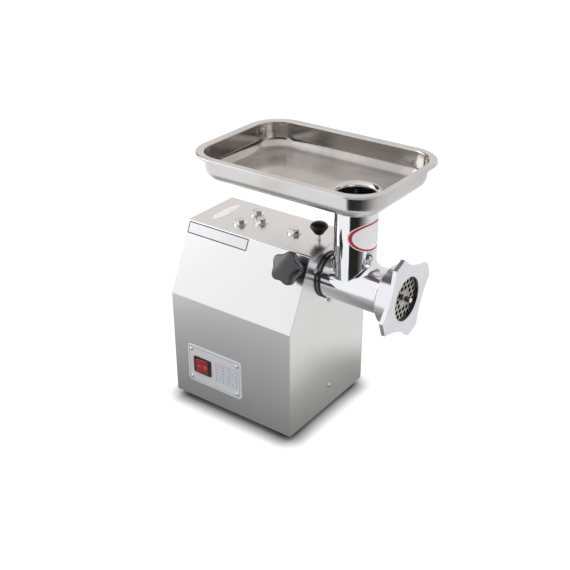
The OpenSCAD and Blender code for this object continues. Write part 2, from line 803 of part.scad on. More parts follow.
// Outline of the gear case in Y and Z, grow outside its cavity
module case_outline(grow) {
    r2 = tip_2 + tooth_gap + grow;
    r1 = tip_1 + tooth_gap + grow;
    r0 = register_d / 2 + (grow > 0 ? grow + 6 : -4);
    translate([0, axis_z]) circle(r = r2);
    translate([0, idler_z]) circle(r = r1);
    translate([0, motor_z]) circle(r = r0);
    translate([-0.8 * r2, idler_z]) square([1.6 * r2, centres_2]);
    translate([-0.8 * r0, motor_z]) square([1.6 * r0, centres_1]);
}

module gear_case() {
    boss_len = under_z - axis_z;
    flange_t = 6;
    color("darkgray") in_place() difference() {
        union() {
            along_x(case_x + cover_t, nose_x - case_x - cover_t) case_outline(case_wall);
            at_cover_screws() rod_x(screw_boss_d, case_x + cover_t, cover_boss_len);
            // nose, its front flange and the ears for the panel screws
            translate([0, 0, axis_z]) {
                rod_x(nose_d, wall_x, inner_x - wall_x);
                rod_x(nose_d + 6, inner_x - flange_t, flange_t);
            }
            at_nose_screws() rod_x(screw_boss_d, inner_x - flange_t, flange_t);
            // bosses up to the top plate
            intersection() {
                at_top_bolts() translate([0, 0, axis_z]) cylinder(d = washer_d, h = boss_len);
                translate([case_x + cover_t, -body_w / 2, axis_z]) cube([body_len, body_w, body_w]);
            }
            translate([lock_x, 0, axis_z]) cylinder(d = pin_boss_d, h = boss_len);
            translate([lock_x, 0, axis_z]) rotate([clamp_angle, 0, 0])
                cylinder(d = clamp_boss_d, h = slope_off - sheet_t - free);
        }
        along_x(case_x, wall_x - case_x) case_outline(0);
        at_cover_screws() rod_x(cover_screw_d + 0.2, case_x, cover_boss_len - 6);
        // nose bore, shaft hole and bearing seats
        translate([0, 0, axis_z]) {
            rod_x(nose_bore, nose_x, body_len);
            rod_x(big_bearing[1] - 10, wall_x - 1, wall_t + 2);
        }
        translate([0, 0, idler_z]) rod_x(small_bearing[1] + 2 * seat, wall_x - 1, wall_t + 2);
        translate([0, 0, motor_z]) rod_x(register_d + 2 * seat, wall_x - 1, wall_t + 2);
        at_nose_screws() rod_x(end_screw_d + 0.2, inner_x - flange_t - 1, flange_t + 2);
        at_top_bolts() translate([0, 0, under_z - 6.5]) cylinder(d = bolt_d + 0.2, h = 8);
        translate([lock_x, 0, axis_z]) {
            cylinder(d = pin_d + 2 * run, h = boss_len + 1);
            translate([0, 0, chamber_z]) cylinder(d = spring_d + 2 * free, h = boss_len);
        }
        translate([lock_x, 0, axis_z]) rotate([clamp_angle, 0, 0]) {
            cylinder(d = clamp_d + 2 * run, h = slope_off);
            cylinder(d = pad_d + 2 * run, h = pad_z + pad_len + clamp_travel + 1.5);
        }
    }
}

module gear_cover() {
    color("darkgray") in_place() difference() {
        union() {
            along_x(case_x, cover_t) case_outline(case_wall);
            at_cover_screws() rod_x(screw_boss_d, case_x, cover_t);
            translate([0, 0, idler_z]) rod_x(small_bearing[1] + 8, case_x - 6, cover_t + 2);
        }
        at_cover_screws() rod_x(cover_screw_d + 0.4, case_x - 1, cover_t + 2);
        translate([0, 0, idler_z])
            rod_x(small_bearing[1] + 2 * seat, case_x + cover_t - small_bearing[2], 30);
    }
}

module cover_screws() {
    color("silver") in_place() translate([case_x, 0, 0]) at_cover_screws()
        rotate([0, 0, 180]) screw_x(cover_screw_d, 14);
}

module bearing(size, x) {
    groove = 0.4;
    rim = 0.2 * (size[1] - size[0]) / 2;
    turned([[size[0] / 2 + run, x], [size[0] / 2 + rim, x], [size[0] / 2 + rim, x + groove],
        [size[1] / 2 - rim, x + groove], [size[1] / 2 - rim, x], [size[1] / 2, x],
        [size[1] / 2, x + size[2]], [size[1] / 2 - rim, x + size[2]], [size[1] / 2 - rim, x + size[2] - groove],
        [size[0] / 2 + rim, x + size[2] - groove], [size[0] / 2 + rim, x + size[2]],
        [size[0] / 2 + run, x + size[2]]]);
}

module output_bearings() {
    color("silver") on_axis() for (x = [nose_x, front_bearing_x]) bearing(big_bearing, x);
}

module bearing_spacer() {
    color("gray") on_axis() tube_x(big_bearing[1] - 8, big_bearing[1], nose_x + big_bearing[2] + 0.1,
        front_bearing_x - nose_x - big_bearing[2] - 0.2);
}

module nose_seal() {
    color("dimgray") on_axis() turned([[socket_d / 2 + run, seal_x], [spigot_d / 2, seal_x],
        [spigot_d / 2, seal_x + seal_len], [spigot_d / 2 - 1.5, seal_x + seal_len],
        [spigot_d / 2 - 2.5, seal_x + 2], [socket_d / 2 + 1.8, seal_x + 2],
        [socket_d / 2 + 1.2, seal_x + seal_len - 1], [socket_d / 2 + run, seal_x + seal_len - 1]]);
}

module idler_bearings() {
    color("silver") on_axis(idler_z) {
        bearing(small_bearing, case_x + cover_t - small_bearing[2]);
        bearing(small_bearing, wall_x);
    }
}

module idler_shaft() {
    color("lightsteelblue") on_axis(idler_z) {
        rod_x(shaft_d, case_x + cover_t - small_bearing[2] + 0.5, wall_x + wall_t - case_x - cover_t + 9);
        rod_x(idler_land_d, case_x + cover_t + free, gear_2_x - case_x - cover_t - free);
        along_x(gear_2_x, face_2) polygon(gear_outline(module_2, pinion_2_teeth, 90));
    }
}

module gear_blank(m, n, x, face, bore, web) {
    // spur gear with a thinner web between its rim and hub
    rim_r = m * n / 2 - 2.5 * m;
    difference() {
        along_x(x, face) polygon(gear_outline(m, n, 270 + 180 / n));
        for (s = [x - 1, x + (face + web) / 2]) tube_x(bore + 12, 2 * rim_r, s, (face - web) / 2 + 1);
        rod_x(bore, x - 1, face + 2);
    }
}

module idler_gear() {
    color("lightsteelblue") on_axis(idler_z)
        gear_blank(module_1, gear_1_teeth, gear_1_x, face_1, idler_land_d + 2 * seat, 6);
}

module output_gear() {
    color("lightsteelblue") on_axis()
        gear_blank(module_2, gear_2_teeth, gear_2_x, face_2, output_land_d + 2 * seat, 9);
}

module output_shaft() {
    color("lightgray") on_axis() difference() {
        union() {
            rod_x(output_land_d, gear_2_x - 0.5, 12 + face_2);
            rod_x(big_bearing[0], gear_2_x + face_2 + 0.2, socket_x - gear_2_x - face_2);
            rod_x(socket_d, socket_x, socket_len);
        }
        square_x(tang_af + 0.5, socket_x + socket_len - socket_depth, socket_depth + 1);
        rod_x(tang_af - 2, socket_x + socket_len - socket_depth - 2, 4);
    }
}

// ---------------------------------------------------------------- motor

module at_tie_bolts() { for (a = [45:90:315]) rotate([a, 0, 0]) translate([0, 0, tie_at]) children(); }

// End bell with four ears for the tie bolts
module bell_disc(x) {
    difference() {
        union() {
            rod_x(motor_d, x, bell_t);
            at_tie_bolts() {
                rod_x(tie_d + 8, x, bell_t);
                translate([x, -tie_d / 2 - 4, -tie_d - 8]) cube([bell_t, tie_d + 8, tie_d + 8]);
            }
        }
        at_tie_bolts() rod_x(tie_d + 0.4, x - 1, bell_t + 2);
    }
}

module drive_bell() {
    color("gray") on_axis(motor_z) difference() {
        union() {
            bell_disc(nose_x);
            rod_x(register_d, wall_x + 1, wall_t);
        }
        rod_x(small_bearing[1] + 2 * seat, nose_x - 4, small_bearing[2] + 30);
        rod_x(shaft_d + 1, wall_x, 40);
        rod_x(motor_d - 24, nose_x + 6, bell_t);
    }
}

module fan_bell() {
    color("gray") on_axis(motor_z) difference() {
        bell_disc(fan_bell_x);
        rod_x(small_bearing[1] + 2 * seat, fan_bell_x - 1, small_bearing[2] + 1 + eps);
        rod_x(shaft_d + 1, fan_bell_x, 40);
        // air slots
        for (a = [0:30:330]) rotate([a, 0, 0]) translate([fan_bell_x - 1, -3, small_bearing[1] / 2 + 8])
            cube([bell_t + 2, 6, motor_d / 2 - small_bearing[1] / 2 - 16]);
    }
}

module motor_can() {
    color("dimgray") on_axis(motor_z) tube_x(motor_d - 2 * can_t, motor_d, can_x, can_len);
}

module stator_core() {
    color("slategray") on_axis(motor_z) difference() {
        tube_x(rotor_d + 1, motor_d - 2 * can_t - 2 * seat, stack_x, stack_len);
        for (i = [0:slot_count - 1]) rotate([i * 360 / slot_count, 0, 0]) {
            translate([0, 0, slot_at]) rod_x(slot_d, stack_x - 1, stack_len + 2);
            translate([stack_x - 1, -1, rotor_d / 2]) cube([stack_len + 2, 2, slot_at - rotor_d / 2]);
        }
    }
}

module windings() {
    end_len = stack_x - can_x - 2;
    color("peru") on_axis(motor_z) {
        for (i = [0:slot_count - 1]) rotate([i * 360 / slot_count, 0, 0])
            translate([0, 0, slot_at]) rod_x(slot_d - 0.4, stack_x - end_len / 2, stack_len + end_len);
        for (x = [stack_x - end_len / 2 - 0.2, stack_x + stack_len + end_len / 2 + 0.2])
            translate([x, 0, 0]) rotate([0, 90, 0]) rotate_extrude()
                translate([slot_at - 4, -end_len / 2 + 0.2]) square([9, end_len - 0.4]);
    }
}

module tie_bolts() {
    color("silver") on_axis(motor_z) at_tie_bolts() {
        rod_x(tie_d, nose_x + 1, fan_bell_x + bell_t - nose_x);
        translate([fan_bell_x + bell_t, 0, 0]) rotate([0, 90, 0])
            cylinder(d = 1.8 * tie_d, h = 4, $fn = 6);
    }
}

module motor_bearings() {
    color("silver") on_axis(motor_z) {
        bearing(small_bearing, nose_x - 4);
        bearing(small_bearing, fan_bell_x);
    }
}

module motor_shaft() {
    color("lightgray") on_axis(motor_z) rod_x(shaft_d, shaft_rear, fan_x + fan_len + 1 - shaft_rear);
}

module rotor_core() {
    color("gray") on_axis(motor_z) {
        tube_x(shaft_d + 2 * seat, rotor_d, stack_x, stack_len);
        for (x = [stack_x - 5, stack_x + stack_len]) tube_x(rotor_d - 22, rotor_d - 2, x, 5);
    }
}

module motor_pinion() {
    color("lightsteelblue") on_axis(motor_z) difference() {
        along_x(gear_1_x, face_1) polygon(gear_outline(module_1, pinion_1_teeth, 90));
        rod_x(shaft_d + 2 * seat, gear_1_x - 1, face_1 + 2);
    }
}

module cooling_fan() {
    hub_d = shaft_d + 12;
    color("dimgray") on_axis(motor_z) {
        difference() {
            rod_x(hub_d, fan_x, fan_len);
            rod_x(shaft_d + 2 * seat, fan_x - 1, fan_len + 2);
        }
        tube_x(hub_d - 1, fan_d, fan_x + fan_len - 1.5, 1.5);
        for (i = [0:fan_blades - 1]) rotate([i * 360 / fan_blades, 0, 0])
            translate([fan_x, -0.8, hub_d / 2 - 1]) cube([fan_len, 1.6, fan_d / 2 - hub_d / 2]);
    }
}

module motor_bracket() {
    // cradle that carries the motor can on the base plate
    wide = 0.62 * motor_d;
    color("gray") in_place() difference() {
        union() {
            for (x = [can_x + 8, can_x + can_len - 20])
                translate([x, -wide / 2, floor_z]) cube([12, wide, motor_z - floor_z - motor_d / 6]);
            translate([can_x + 8, -wide / 2, floor_z]) cube([can_len - 16, wide, 3]);
        }
        translate([0, 0, motor_z]) rod_x(motor_d + 2 * seat, can_x, can_len);
        for (x = [can_x, can_x + can_len - 24])
            translate([x, -wide / 5, floor_z + 9]) cube([30, 2 * wide / 5, 18]);
    }
}

module capacitor() {
    r = 19;
    from_rear = 3;
    color("gainsboro") in_place() translate([r + from_rear, -body_w / 4, floor_z]) {
        rotate_extrude() polygon(concat([[0, 0], [r - 2, 0]], arc([r - 2, 2], 2, -90, 0, 4),
            arc([r - 3, 70], 3, 0, 90, 4), [[0, 73]]));
        for (y = [-5, 5]) translate([-3, y - 0.4, 72]) cube([6, 0.8, 9]);
    }
}

// ---------------------------------------------------------------- head

// Rolling-ball fillet between an upright cylinder of radius rt and a lying one of radius rb,
// both sunk by a little so that it merges with the two. Its radius goes smoothly from
// r_front on the +X side to r_rear on the -X side.
module neck_fillet(rt, rb, r_front, r_rear) {
    sink = 0.3;
    a = rt - sink;
    b = rb - sink;
    steps = 48;
    arc_steps = 6;
    rows = arc_steps + 4;
    function radius(f) = r_rear + (r_front - r_rear) * (1 + cos(f)) / 2;
    function ball(f) = let(r = radius(f), y = (a + r) * sin(f))
        [(a + r) * cos(f), y, sqrt(pow(b + r, 2) - y * y)];
    function on_arc(f, s) = let(
        r = radius(f),
        c = ball(f),
        d1 = [-cos(f), -sin(f), 0],
        d2 = [0, -c[1], -c[2]] / (b + r),
        w = acos(d1 * d2))
        c + r * (d1 * sin((1 - s) * w) + d2 * sin(s * w)) / sin(w);
    function inner(f) = let(q = a - 1, y = q * sin(f)) [q * cos(f), y, sqrt(pow(b - 1, 2) - y * y)];
    function ring(f) = concat(
        [for (k = [0:arc_steps]) on_arc(f, k / arc_steps)],
        [let(p = on_arc(f, 1), k = (b - 1) / b) [p[0], p[1] * k, p[2] * k],
         inner(f),
         let(p = on_arc(f, 0)) [(a - 1) * cos(f), (a - 1) * sin(f), p[2]]]);
    points = [for (i = [0:steps - 1]) each ring(i * 360 / steps)];
    polyhedron(points, [for (i = [0:steps - 1], k = [0:rows - 1])
        let(j = (i + 1) % steps, l = (k + 1) % rows)
        each [[i * rows + k, j * rows + k, j * rows + l], [i * rows + k, j * rows + l, i * rows + l]]]);
}

module head_casting() {
    rb = barrel_d / 2;
    rt = throat_d / 2;
    throat_top = mouth_top - axis_z;
    band_z = throat_top - mouth_h;
    color("silver") on_axis() difference() {
        union() {
            // spigot, barrel and threaded flange
            turned([[0, spigot_x + 1.5], [0, barrel_front], [thread_d / 2 - 1, barrel_front],
                [thread_d / 2, barrel_front - 1], [thread_d / 2, flange_rear], [rb, flange_rear - 7],
                [rb, ring_x + ring_w], [rb - 1.4, ring_x + ring_w], [rb - 1.4, ring_x], [rb, ring_x],
                [rb, shoulder_x + 0.4], [rb - 0.4, shoulder_x], [spigot_d / 2, shoulder_x],
                [spigot_d / 2, spigot_x + 1.5], [spigot_d / 2 - 1.5, spigot_x], [0, spigot_x]]);
            // throat with the band at its mouth
            translate([throat_at, 0, 0]) rotate_extrude($fn = 96) polygon(concat(
                [[0, 0], [rt, 0], [rt, band_z]],
                [[rt + mouth_out, band_z + 2], [rt + mouth_out, throat_top - 0.8],
                 [rt + mouth_out - 0.8, throat_top], [0, throat_top]]));
            translate([throat_at, 0, 0]) neck_fillet(rt, rb, neck_r, neck_rear_r);
        }
        // barrel bore, recess for the knife and the plate, journal bore
        rod_x(barrel_bore, scroll_x, body_len);
        rod_x(recess_d, recess_x, body_len);
        rod_x(journal_d + 2 * run, spigot_x - 1, body_len);
        // throat bore with a mouth that takes the drawn lip of the tray
        translate([throat_at, 0, 0]) {
            cylinder(d = throat_bore, h = throat_top + 1);
            rotate_extrude() polygon(concat([[0, throat_top - lip_r], [spout_d / 2, throat_top - lip_r]],
                arc([spout_d / 2 + lip_r, tray_floor - tray_t - lip_r], lip_r - free, 180, 90, 8),
                [[spout_d / 2 + lip_r, throat_top + 2], [0, throat_top + 2]]));
        }
        // seat of the key
        rotate([-90, 0, 0]) translate([disc_rear + 1.5, 0, recess_d / 2 - 4])
            cylinder(d = 3 + 2 * seat, h = 4 + 1.6);
    }
}

module head_ring() {
    rb = barrel_d / 2;
    color("black") on_axis() turned([
        [rb - 1.4 + seat, ring_x + seat], [rb + ring_out - 0.8, ring_x + seat],
        [rb + ring_out, ring_x + 0.8], [rb + ring_out, ring_x + ring_w - 0.8],
        [rb + ring_out - 0.8, ring_x + ring_w - seat], [rb - 1.4 + seat, ring_x + ring_w - seat]]);
}

module plate_key() {
    color("silver") on_axis() rotate([-90, 0, 0]) translate([disc_rear + 1.5, 0, recess_d / 2 - 2.6])
        cylinder(d = 3, h = 4);
}

// ---------------------------------------------------------------- auger

// Place along X of the flight at fraction s of its turns, closer pitch towards the front
function flight_at(s) = flight_x + flight_len * (1.22 * s - 0.22 * s * s);
function core_at(x) = (core_rear_d + (core_front_d - core_rear_d) * (x - flight_x) / flight_len) / 2;

module flight() {
    steps = round(24 * flight_turns);
    // four corners of the flight's section at step i: root and edge, rear and front
    function corner(i) = let(
        s = i / steps,
        a = 360 * flight_turns * s,
        thick = flight_t + 2 * (1 - s),
        x = flight_x + thick + (flight_at(s) - flight_x) * (flight_len - 1.5 * thick) / flight_len,
        edge = flight_r - (i == 0 || i == steps ? 2 : 0),
        root = core_at(x) - 2)
        [[x - thick, root], [x - flight_t / 2, edge], [x + flight_t / 2, edge], [x + thick / 1.5, root]];
    points = [for (i = [0:steps]) let(a = 360 * flight_turns * i / steps, c = corner(i))
        each [for (p = c) [p[0], p[1] * sin(a), p[1] * cos(a)]]];
    polyhedron(points, concat([[0, 1, 2, 3]],
        [for (i = [0:steps - 1], k = [0:3]) let(l = (k + 1) % 4)
            each [[4 * i + k, 4 * i + 4 + k, 4 * i + 4 + l], [4 * i + k, 4 * i + 4 + l, 4 * i + l]]],
        [[4 * steps + 3, 4 * steps + 2, 4 * steps + 1, 4 * steps]]));
}

module auger() {
    color("lightgray") on_axis() {
        difference() {
            square_x(tang_af, tang_x, tang_len + 1);
            // corners of the tang turned down so that it passes the journal bore
            tube_x(journal_d - 1, 2 * journal_d, tang_x - 1, tang_len + 4);
        }
        turned([[0, tang_x + tang_len], [journal_d / 2 - 1, tang_x + tang_len],
            [journal_d / 2, tang_x + tang_len + 1], [journal_d / 2, flight_x + 0.1],
            [core_rear_d / 2, flight_x + 0.1], [core_front_d / 2, flight_x + flight_len],
            [knife_af / 2 + 3, flight_x + flight_len + 1.2], [0, flight_x + flight_len + 1.2]]);
        flight();
        square_x(knife_af, flight_x + flight_len, disc_rear - free - 0.2 - flight_x - flight_len);
        // stud, a little thinner in front of the plate, with a rounded end
        turned(concat([[0, disc_rear - 2], [stud_d / 2, disc_rear - 2], [stud_d / 2, disc_front + 0.5]],
            [[stud_d / 2 - stud_step, disc_front + 0.5]],
            arc([stud_d / 2 - stud_step - stud_round, stud_tip - stud_round], stud_round, 0, 90, 5),
            [[0, stud_tip]]));
    }
}

module auger_washer() {
    color("ivory") on_axis() tube_x(journal_d + 2 * seat, 42, scroll_x + 0.1, washer_len - 0.1);
}

module knife() {
    hub_r = knife_af / 2 + 5.5;
    tip_r = barrel_bore / 2 + 1;
    color("lightgray") on_axis() difference() {
        union() {
            rod_x(2 * hub_r, knife_x, knife_t);
            // four blades, straight cutting edge ahead and hollow back behind
            for (a = [0:90:270]) rotate([a, 0, 0]) along_x(knife_x, knife_t) difference() {
                intersection() {
                    translate([-5.5, 0]) square([11, tip_r]);
                    circle(r = tip_r);
                }
                translate([-tip_r - 0.5, hub_r + 8]) circle(r = tip_r - 3);
            }
        }
        square_x(knife_af + 0.1, knife_x - 1, knife_t + 2);
        // hollow ground face, so that only the rims of the blades meet the plate
        tube_x(2 * hub_r + 1, 2 * tip_r - 9, knife_x - 1, 3);
    }
}

// ---------------------------------------------------------------- plate and ring nut

// Hexagonal pattern of holes, without the middle and its first ring
disc_rows = 4;
disc_holes = [for (i = [-disc_rows:disc_rows], j = [-disc_rows:disc_rows])
    let(p = disc_pitch * [i + j / 2, j * sin(60)])
    if (norm(p) > 1.2 * disc_pitch && norm(p) < nut_open_d / 2 - disc_hole_d / 2) p];

module cutting_plate() {
    color("lightgray") on_axis() difference() {
        turned([[0, disc_rear], [0, disc_front], [disc_d / 2 - 0.6, disc_front],
            [disc_d / 2, disc_front - 0.6], [disc_d / 2, disc_rear + 0.6], [disc_d / 2 - 0.6, disc_rear]]);
        rod_x(stud_d + 2 * run, disc_rear - 1, disc_t + 2);
        for (p = disc_holes) rotate([disc_tilt, 0, 0]) translate([0, p[0], p[1]])
            rod_x(disc_hole_d, disc_rear - 1, disc_t + 2);
        // notch for the key
        rotate([-90, 0, 0]) translate([disc_rear - 1, -2, disc_d / 2 - 3]) cube([disc_t + 2, 4, 4]);
    }
}

module lobed_outline() {
    rotate(lobe_tilt) difference() {
        intersection() {
            circle(d = nut_tip_d);
            square(nut_flat, center = true);
        }
        for (a = [45:90:315]) rotate(a) translate([nut_waist / 2 + nut_scoop_r, 0])
            circle(r = nut_scoop_r, $fn = 160);
    }
}

module ring_nut() {
    plate_x0 = nut_front - nut_plate_t;
    r = nut_skirt_d / 2;
    color("silver") on_axis() difference() {
        union() {
            along_x(plate_x0, nut_plate_t - 0.8) lobed_outline();
            along_x(nut_front - 0.8 - eps, 0.8 + eps) intersection() {
                lobed_outline();
                circle(r = nut_tip_d / 2 - 0.8);
            }
            turned([[0, nut_rear], [r - 1.2, nut_rear], [r, nut_rear + 1.2], [r, plate_x0 + 1],
                [0, plate_x0 + 1]]);
        }
        rod_x(nut_bore, nut_rear - 1, disc_front + free - nut_rear + 1);
        turned([[0, disc_front], [nut_open_d / 2, disc_front], [nut_open_d / 2, nut_front - 1],
            [nut_open_d / 2 + 1.2, nut_front + 0.2], [0, nut_front + 0.2]]);
    }
}

// ---------------------------------------------------------------- feed tray

// Section of the tray's wall as [distance inside the rim, height], from the rolled rim to the floor
wall_in = tray_rim + tray_lean + tray_bend;
wall_path = rounded([[0.01, rim_z - 3.5], [0.01, rim_z], [tray_rim, rim_z],
    [tray_rim + tray_lean, tray_z], [wall_in + 2, tray_z]], [1.6, 2.5, tray_bend]);
wall_section = sheet(wall_path, -tray_t);

module tray_wall_straight(len, out) {
    // straight stretch along X whose rim lies at y = -out
    translate([-len / 2, 0, 0]) rotate([90, 0, 90]) linear_extrude(len)
        polygon([for (p = wall_section) [p[0] - out, p[1]]]);
}

module feed_tray() {
    half_x = tray_len / 2;
    half_y = tray_w / 2;
    hole_r = spout_d / 2 + lip_r + bead_h;
    lip = rounded([[hole_r + 0.8, tray_z], [hole_r - 1, tray_z + bead_h],
        [spout_d / 2 - tray_t, tray_z + bead_h],
        [spout_d / 2 - tray_t, collar_top]], [1.2, lip_r]);
    color("silver") in_place() translate([throat_at, 0, 0]) {
        difference() {
            translate([-tray_back, 0, 0]) {
                for (a = [0, 180]) rotate([0, 0, a]) {
                    tray_wall_straight(tray_len - 2 * tray_r, half_y);
                    rotate([0, 0, 90]) tray_wall_straight(tray_w - 2 * tray_r, half_x);
                }
                for (c = [[1, 1, 0], [-1, 1, 90], [-1, -1, 180], [1, -1, 270]])
                    translate([c[0] * (half_x - tray_r), c[1] * (half_y - tray_r), 0])
                        rotate([0, 0, c[2]]) rotate_extrude(angle = 90)
                            polygon([for (p = wall_section) [tray_r - p[0], p[1]]]);
                // floor inside the wall's bend
                translate([0, 0, tray_under]) linear_extrude(tray_t) {
                    square([tray_len - 2 * wall_in, tray_w - 2 * tray_r], center = true);
                    square([tray_len - 2 * tray_r, tray_w - 2 * wall_in], center = true);
                    for (x = [-1, 1], y = [-1, 1])
                        translate([x * (half_x - tray_r), y * (half_y - tray_r)])
                            circle(r = tray_r - wall_in);
                }
            }
            translate([0, 0, tray_z - 5]) cylinder(r = hole_r, h = 10);
        }
        rotate_extrude($fn = 96) polygon(sheet(lip, tray_t));
    }
}

module tray_spout() {
    // straight collar under the drawn lip of the tray
    low = tray_z - spout_len;
    color("silver") in_place() translate([throat_at, 0, low]) rotate([0, -90, 0])
        tube_x(spout_d - 2 * tray_t, spout_d, 0, collar_top - low);
}

// ---------------------------------------------------------------- clamp knob

module clamp_pad() {
    color("goldenrod") on_clamp() difference() {
        translate([0, 0, pad_z]) cylinder(d = pad_d, h = pad_len);
        translate([0, 0, pad_z + 1.5]) cylinder(d = clamp_d / 2 + 2 * run, h = pad_len);
    }
}

module clamp_screw() {
    color("silver") on_clamp() {
        translate([0, 0, pad_z + 1.5 + free]) cylinder(d = clamp_d / 2, h = pad_len);
        translate([0, 0, pad_z + pad_len + free])
            cylinder(d = clamp_d, h = slope_off + knob_off - knob_t - pad_z - pad_len);
    }
}

function knob_wave(inset) = [for (a = [0:5:355])
    polar(knob_r - inset - knob_valley * (1 - cos(5 * (a - 8))) / 2, a)];

module clamp_knob() {
    far = slope_off + knob_off;
    near = far - knob_t;
    soft = 1.5;
    hub_d = 2 * clamp_d + 4;
    color("#181818") on_clamp() difference() {
        union() {
            // full outline between two thinner stretches that round its edges off
            translate([0, 0, near]) linear_extrude(knob_t) polygon(knob_wave(soft));
            translate([0, 0, near + soft]) linear_extrude(knob_t - 2 * soft) polygon(knob_wave(0));
            translate([0, 0, near - 5]) cylinder(d1 = hub_d - 4, d2 = hub_d, h = 5 + eps);
        }
        translate([0, 0, near - 6]) cylinder(d = clamp_d + 2 * seat, h = 6 + 2 * free + 4.6);
    }
}

// ---------------------------------------------------------------- locking pin

module locking_pin() {
    knob_base = axis_drop + ball_up;
    color("silver") on_pin() rotate_extrude() polygon([
        [0, spigot_d / 2 + free], [pin_d / 2 - 1, spigot_d / 2 + free],
        [pin_d / 2, spigot_d / 2 + free + 1], [pin_d / 2, collar_z], [spring_d / 2, collar_z],
        [spring_d / 2, collar_z + collar_len],
        [pin_d / 2, collar_z + collar_len], [pin_d / 2, knob_base + 8], [0, knob_base + 8]]);
}

module ball_knob() {
    r = ball_d / 2;
    color("#181818") on_pin() translate([0, 0, axis_drop + ball_up]) difference() {
        // cone that runs into a dome
        rotate_extrude() polygon(concat([[0, 0], [0.4 * r, 0], [0.52 * r, 0.05 * ball_h]],
            [for (a = [-30:10:90]) [r * cos(a), ball_h * (0.6 + 0.4 * sin(a))]]));
        translate([0, 0, -1]) cylinder(d = pin_d + 2 * seat, h = 9 + eps);
    }
}

module pin_bush() {
    color("dimgray") on_pin() translate([0, 0, bush_z]) difference() {
        cylinder(d = spring_d + 2 * free - 2 * seat, h = bush_len);
        translate([0, 0, -1]) cylinder(d = pin_d + 2 * run, h = bush_len + 2);
    }
}

module pin_spring() {
    low = collar_z + collar_len + spring_wire / 2 + 0.1;
    high = bush_z - spring_wire / 2 - 0.1;
    r = (spring_d - spring_wire) / 2;
    turns = 5;
    per_turn = 20;
    sides = 6;
    steps = turns * per_turn;
    points = [for (i = [0:steps], k = [0:sides - 1])
        let(a = 360 * i / per_turn, rr = r + spring_wire / 2 * cos(360 * k / sides))
        [rr * cos(a), rr * sin(a),
         low + (high - low) * i / steps + spring_wire / 2 * sin(360 * k / sides)]];
    color("gray") on_pin() polyhedron(points, concat(
        [[for (k = [0:sides - 1]) k]],
        [for (i = [0:steps - 1], k = [0:sides - 1]) let(l = (k + 1) % sides, a = sides * i)
            each [[a + k, a + sides + k, a + sides + l], [a + k, a + sides + l, a + l]]],
        [[for (k = [sides - 1:-1:0]) sides * steps + k]]));
}

base_plate();
near_side_panel();
far_side_panel();
front_panel();
rear_panel();
top_plate();
top_bolts();
top_washers();
panel_screws();
feet();
foot_screws();
foot_nuts();
data_plate();
plate_rivets();
switch_body();
rocker();
cord_gland();
gland_nut();
gear_case();
gear_cover();
cover_screws();
output_bearings();
bearing_spacer();
nose_seal();
idler_bearings();
drive_bell();
fan_bell();
motor_can();
stator_core();
windings();
tie_bolts();
motor_bearings();
motor_bracket();
capacitor();
pin_bush();
pin_spring();
motor_shaft();
rotor_core();
motor_pinion();
cooling_fan();
idler_shaft();
idler_gear();
output_shaft();
output_gear();
head_casting();
head_ring();
plate_key();
auger();
auger_washer();
knife();
cutting_plate();
ring_nut();
feed_tray();
tray_spout();
clamp_pad();
clamp_screw();
clamp_knob();
locking_pin();
ball_knob();
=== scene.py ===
import json
import math

import bmesh
import bpy
from mathutils import Matrix, Vector


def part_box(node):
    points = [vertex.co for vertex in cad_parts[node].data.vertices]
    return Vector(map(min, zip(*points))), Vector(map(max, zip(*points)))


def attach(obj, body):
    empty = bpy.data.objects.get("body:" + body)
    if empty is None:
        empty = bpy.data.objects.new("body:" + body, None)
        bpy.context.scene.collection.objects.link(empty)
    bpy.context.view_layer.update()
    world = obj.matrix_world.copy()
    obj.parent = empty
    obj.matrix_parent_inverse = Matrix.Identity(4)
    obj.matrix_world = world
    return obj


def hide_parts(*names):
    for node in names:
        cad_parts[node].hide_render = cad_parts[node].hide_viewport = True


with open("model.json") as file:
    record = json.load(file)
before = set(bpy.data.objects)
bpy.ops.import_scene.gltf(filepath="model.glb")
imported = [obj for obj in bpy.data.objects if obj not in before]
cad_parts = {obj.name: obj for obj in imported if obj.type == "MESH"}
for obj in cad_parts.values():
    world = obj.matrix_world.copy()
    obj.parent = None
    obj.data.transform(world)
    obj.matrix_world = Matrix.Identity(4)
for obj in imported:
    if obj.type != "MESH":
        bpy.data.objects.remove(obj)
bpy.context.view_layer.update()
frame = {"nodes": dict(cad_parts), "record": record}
cadNodes = frame["nodes"]
bodies = frame["record"]["behaviour"]["bodies"]
bodyOfNode = {node: body for body, members in bodies.items() for node in members}
slotOfNode = {part["node"]: part["material_slot"] for part in frame["record"]["subparts"]}


# camera
camera = {
    "place": (0.6789, -0.9711, 0.8289),
    "right": (0.8107, 0.5855, 0.0),
    "up": (-0.2750, 0.3808, 0.8828),
    "lens": 59.49,
    "sensor": 36.0,
    "shift": -0.004,
    "farthest": 50.0,
}


def addCamera():
    data = bpy.data.cameras.new("camera")
    data.lens = camera["lens"]
    data.sensor_width = camera["sensor"]
    data.shift_x = camera["shift"]
    data.clip_end = camera["farthest"]
    obj = bpy.data.objects.new("camera", data)
    right = Vector(camera["right"]).normalized()
    up = Vector(camera["up"])
    up = (up - right * up.dot(right)).normalized()
    back = right.cross(up)
    turn = Matrix((right, up, back)).transposed().to_4x4()
    obj.matrix_world = Matrix.Translation(camera["place"]) @ turn
    bpy.context.scene.collection.objects.link(obj)
    bpy.context.scene.camera = obj


# shader helpers
def put(tree, kind, inputs=None, **settings):
    node = tree.nodes.new(kind)
    for key, value in settings.items():
        setattr(node, key, value)
    for key, value in (inputs or {}).items():
        node.inputs[key].default_value = value
    return node


def join(tree, *pairs):
    for source, target in pairs:
        tree.links.new(source, target)


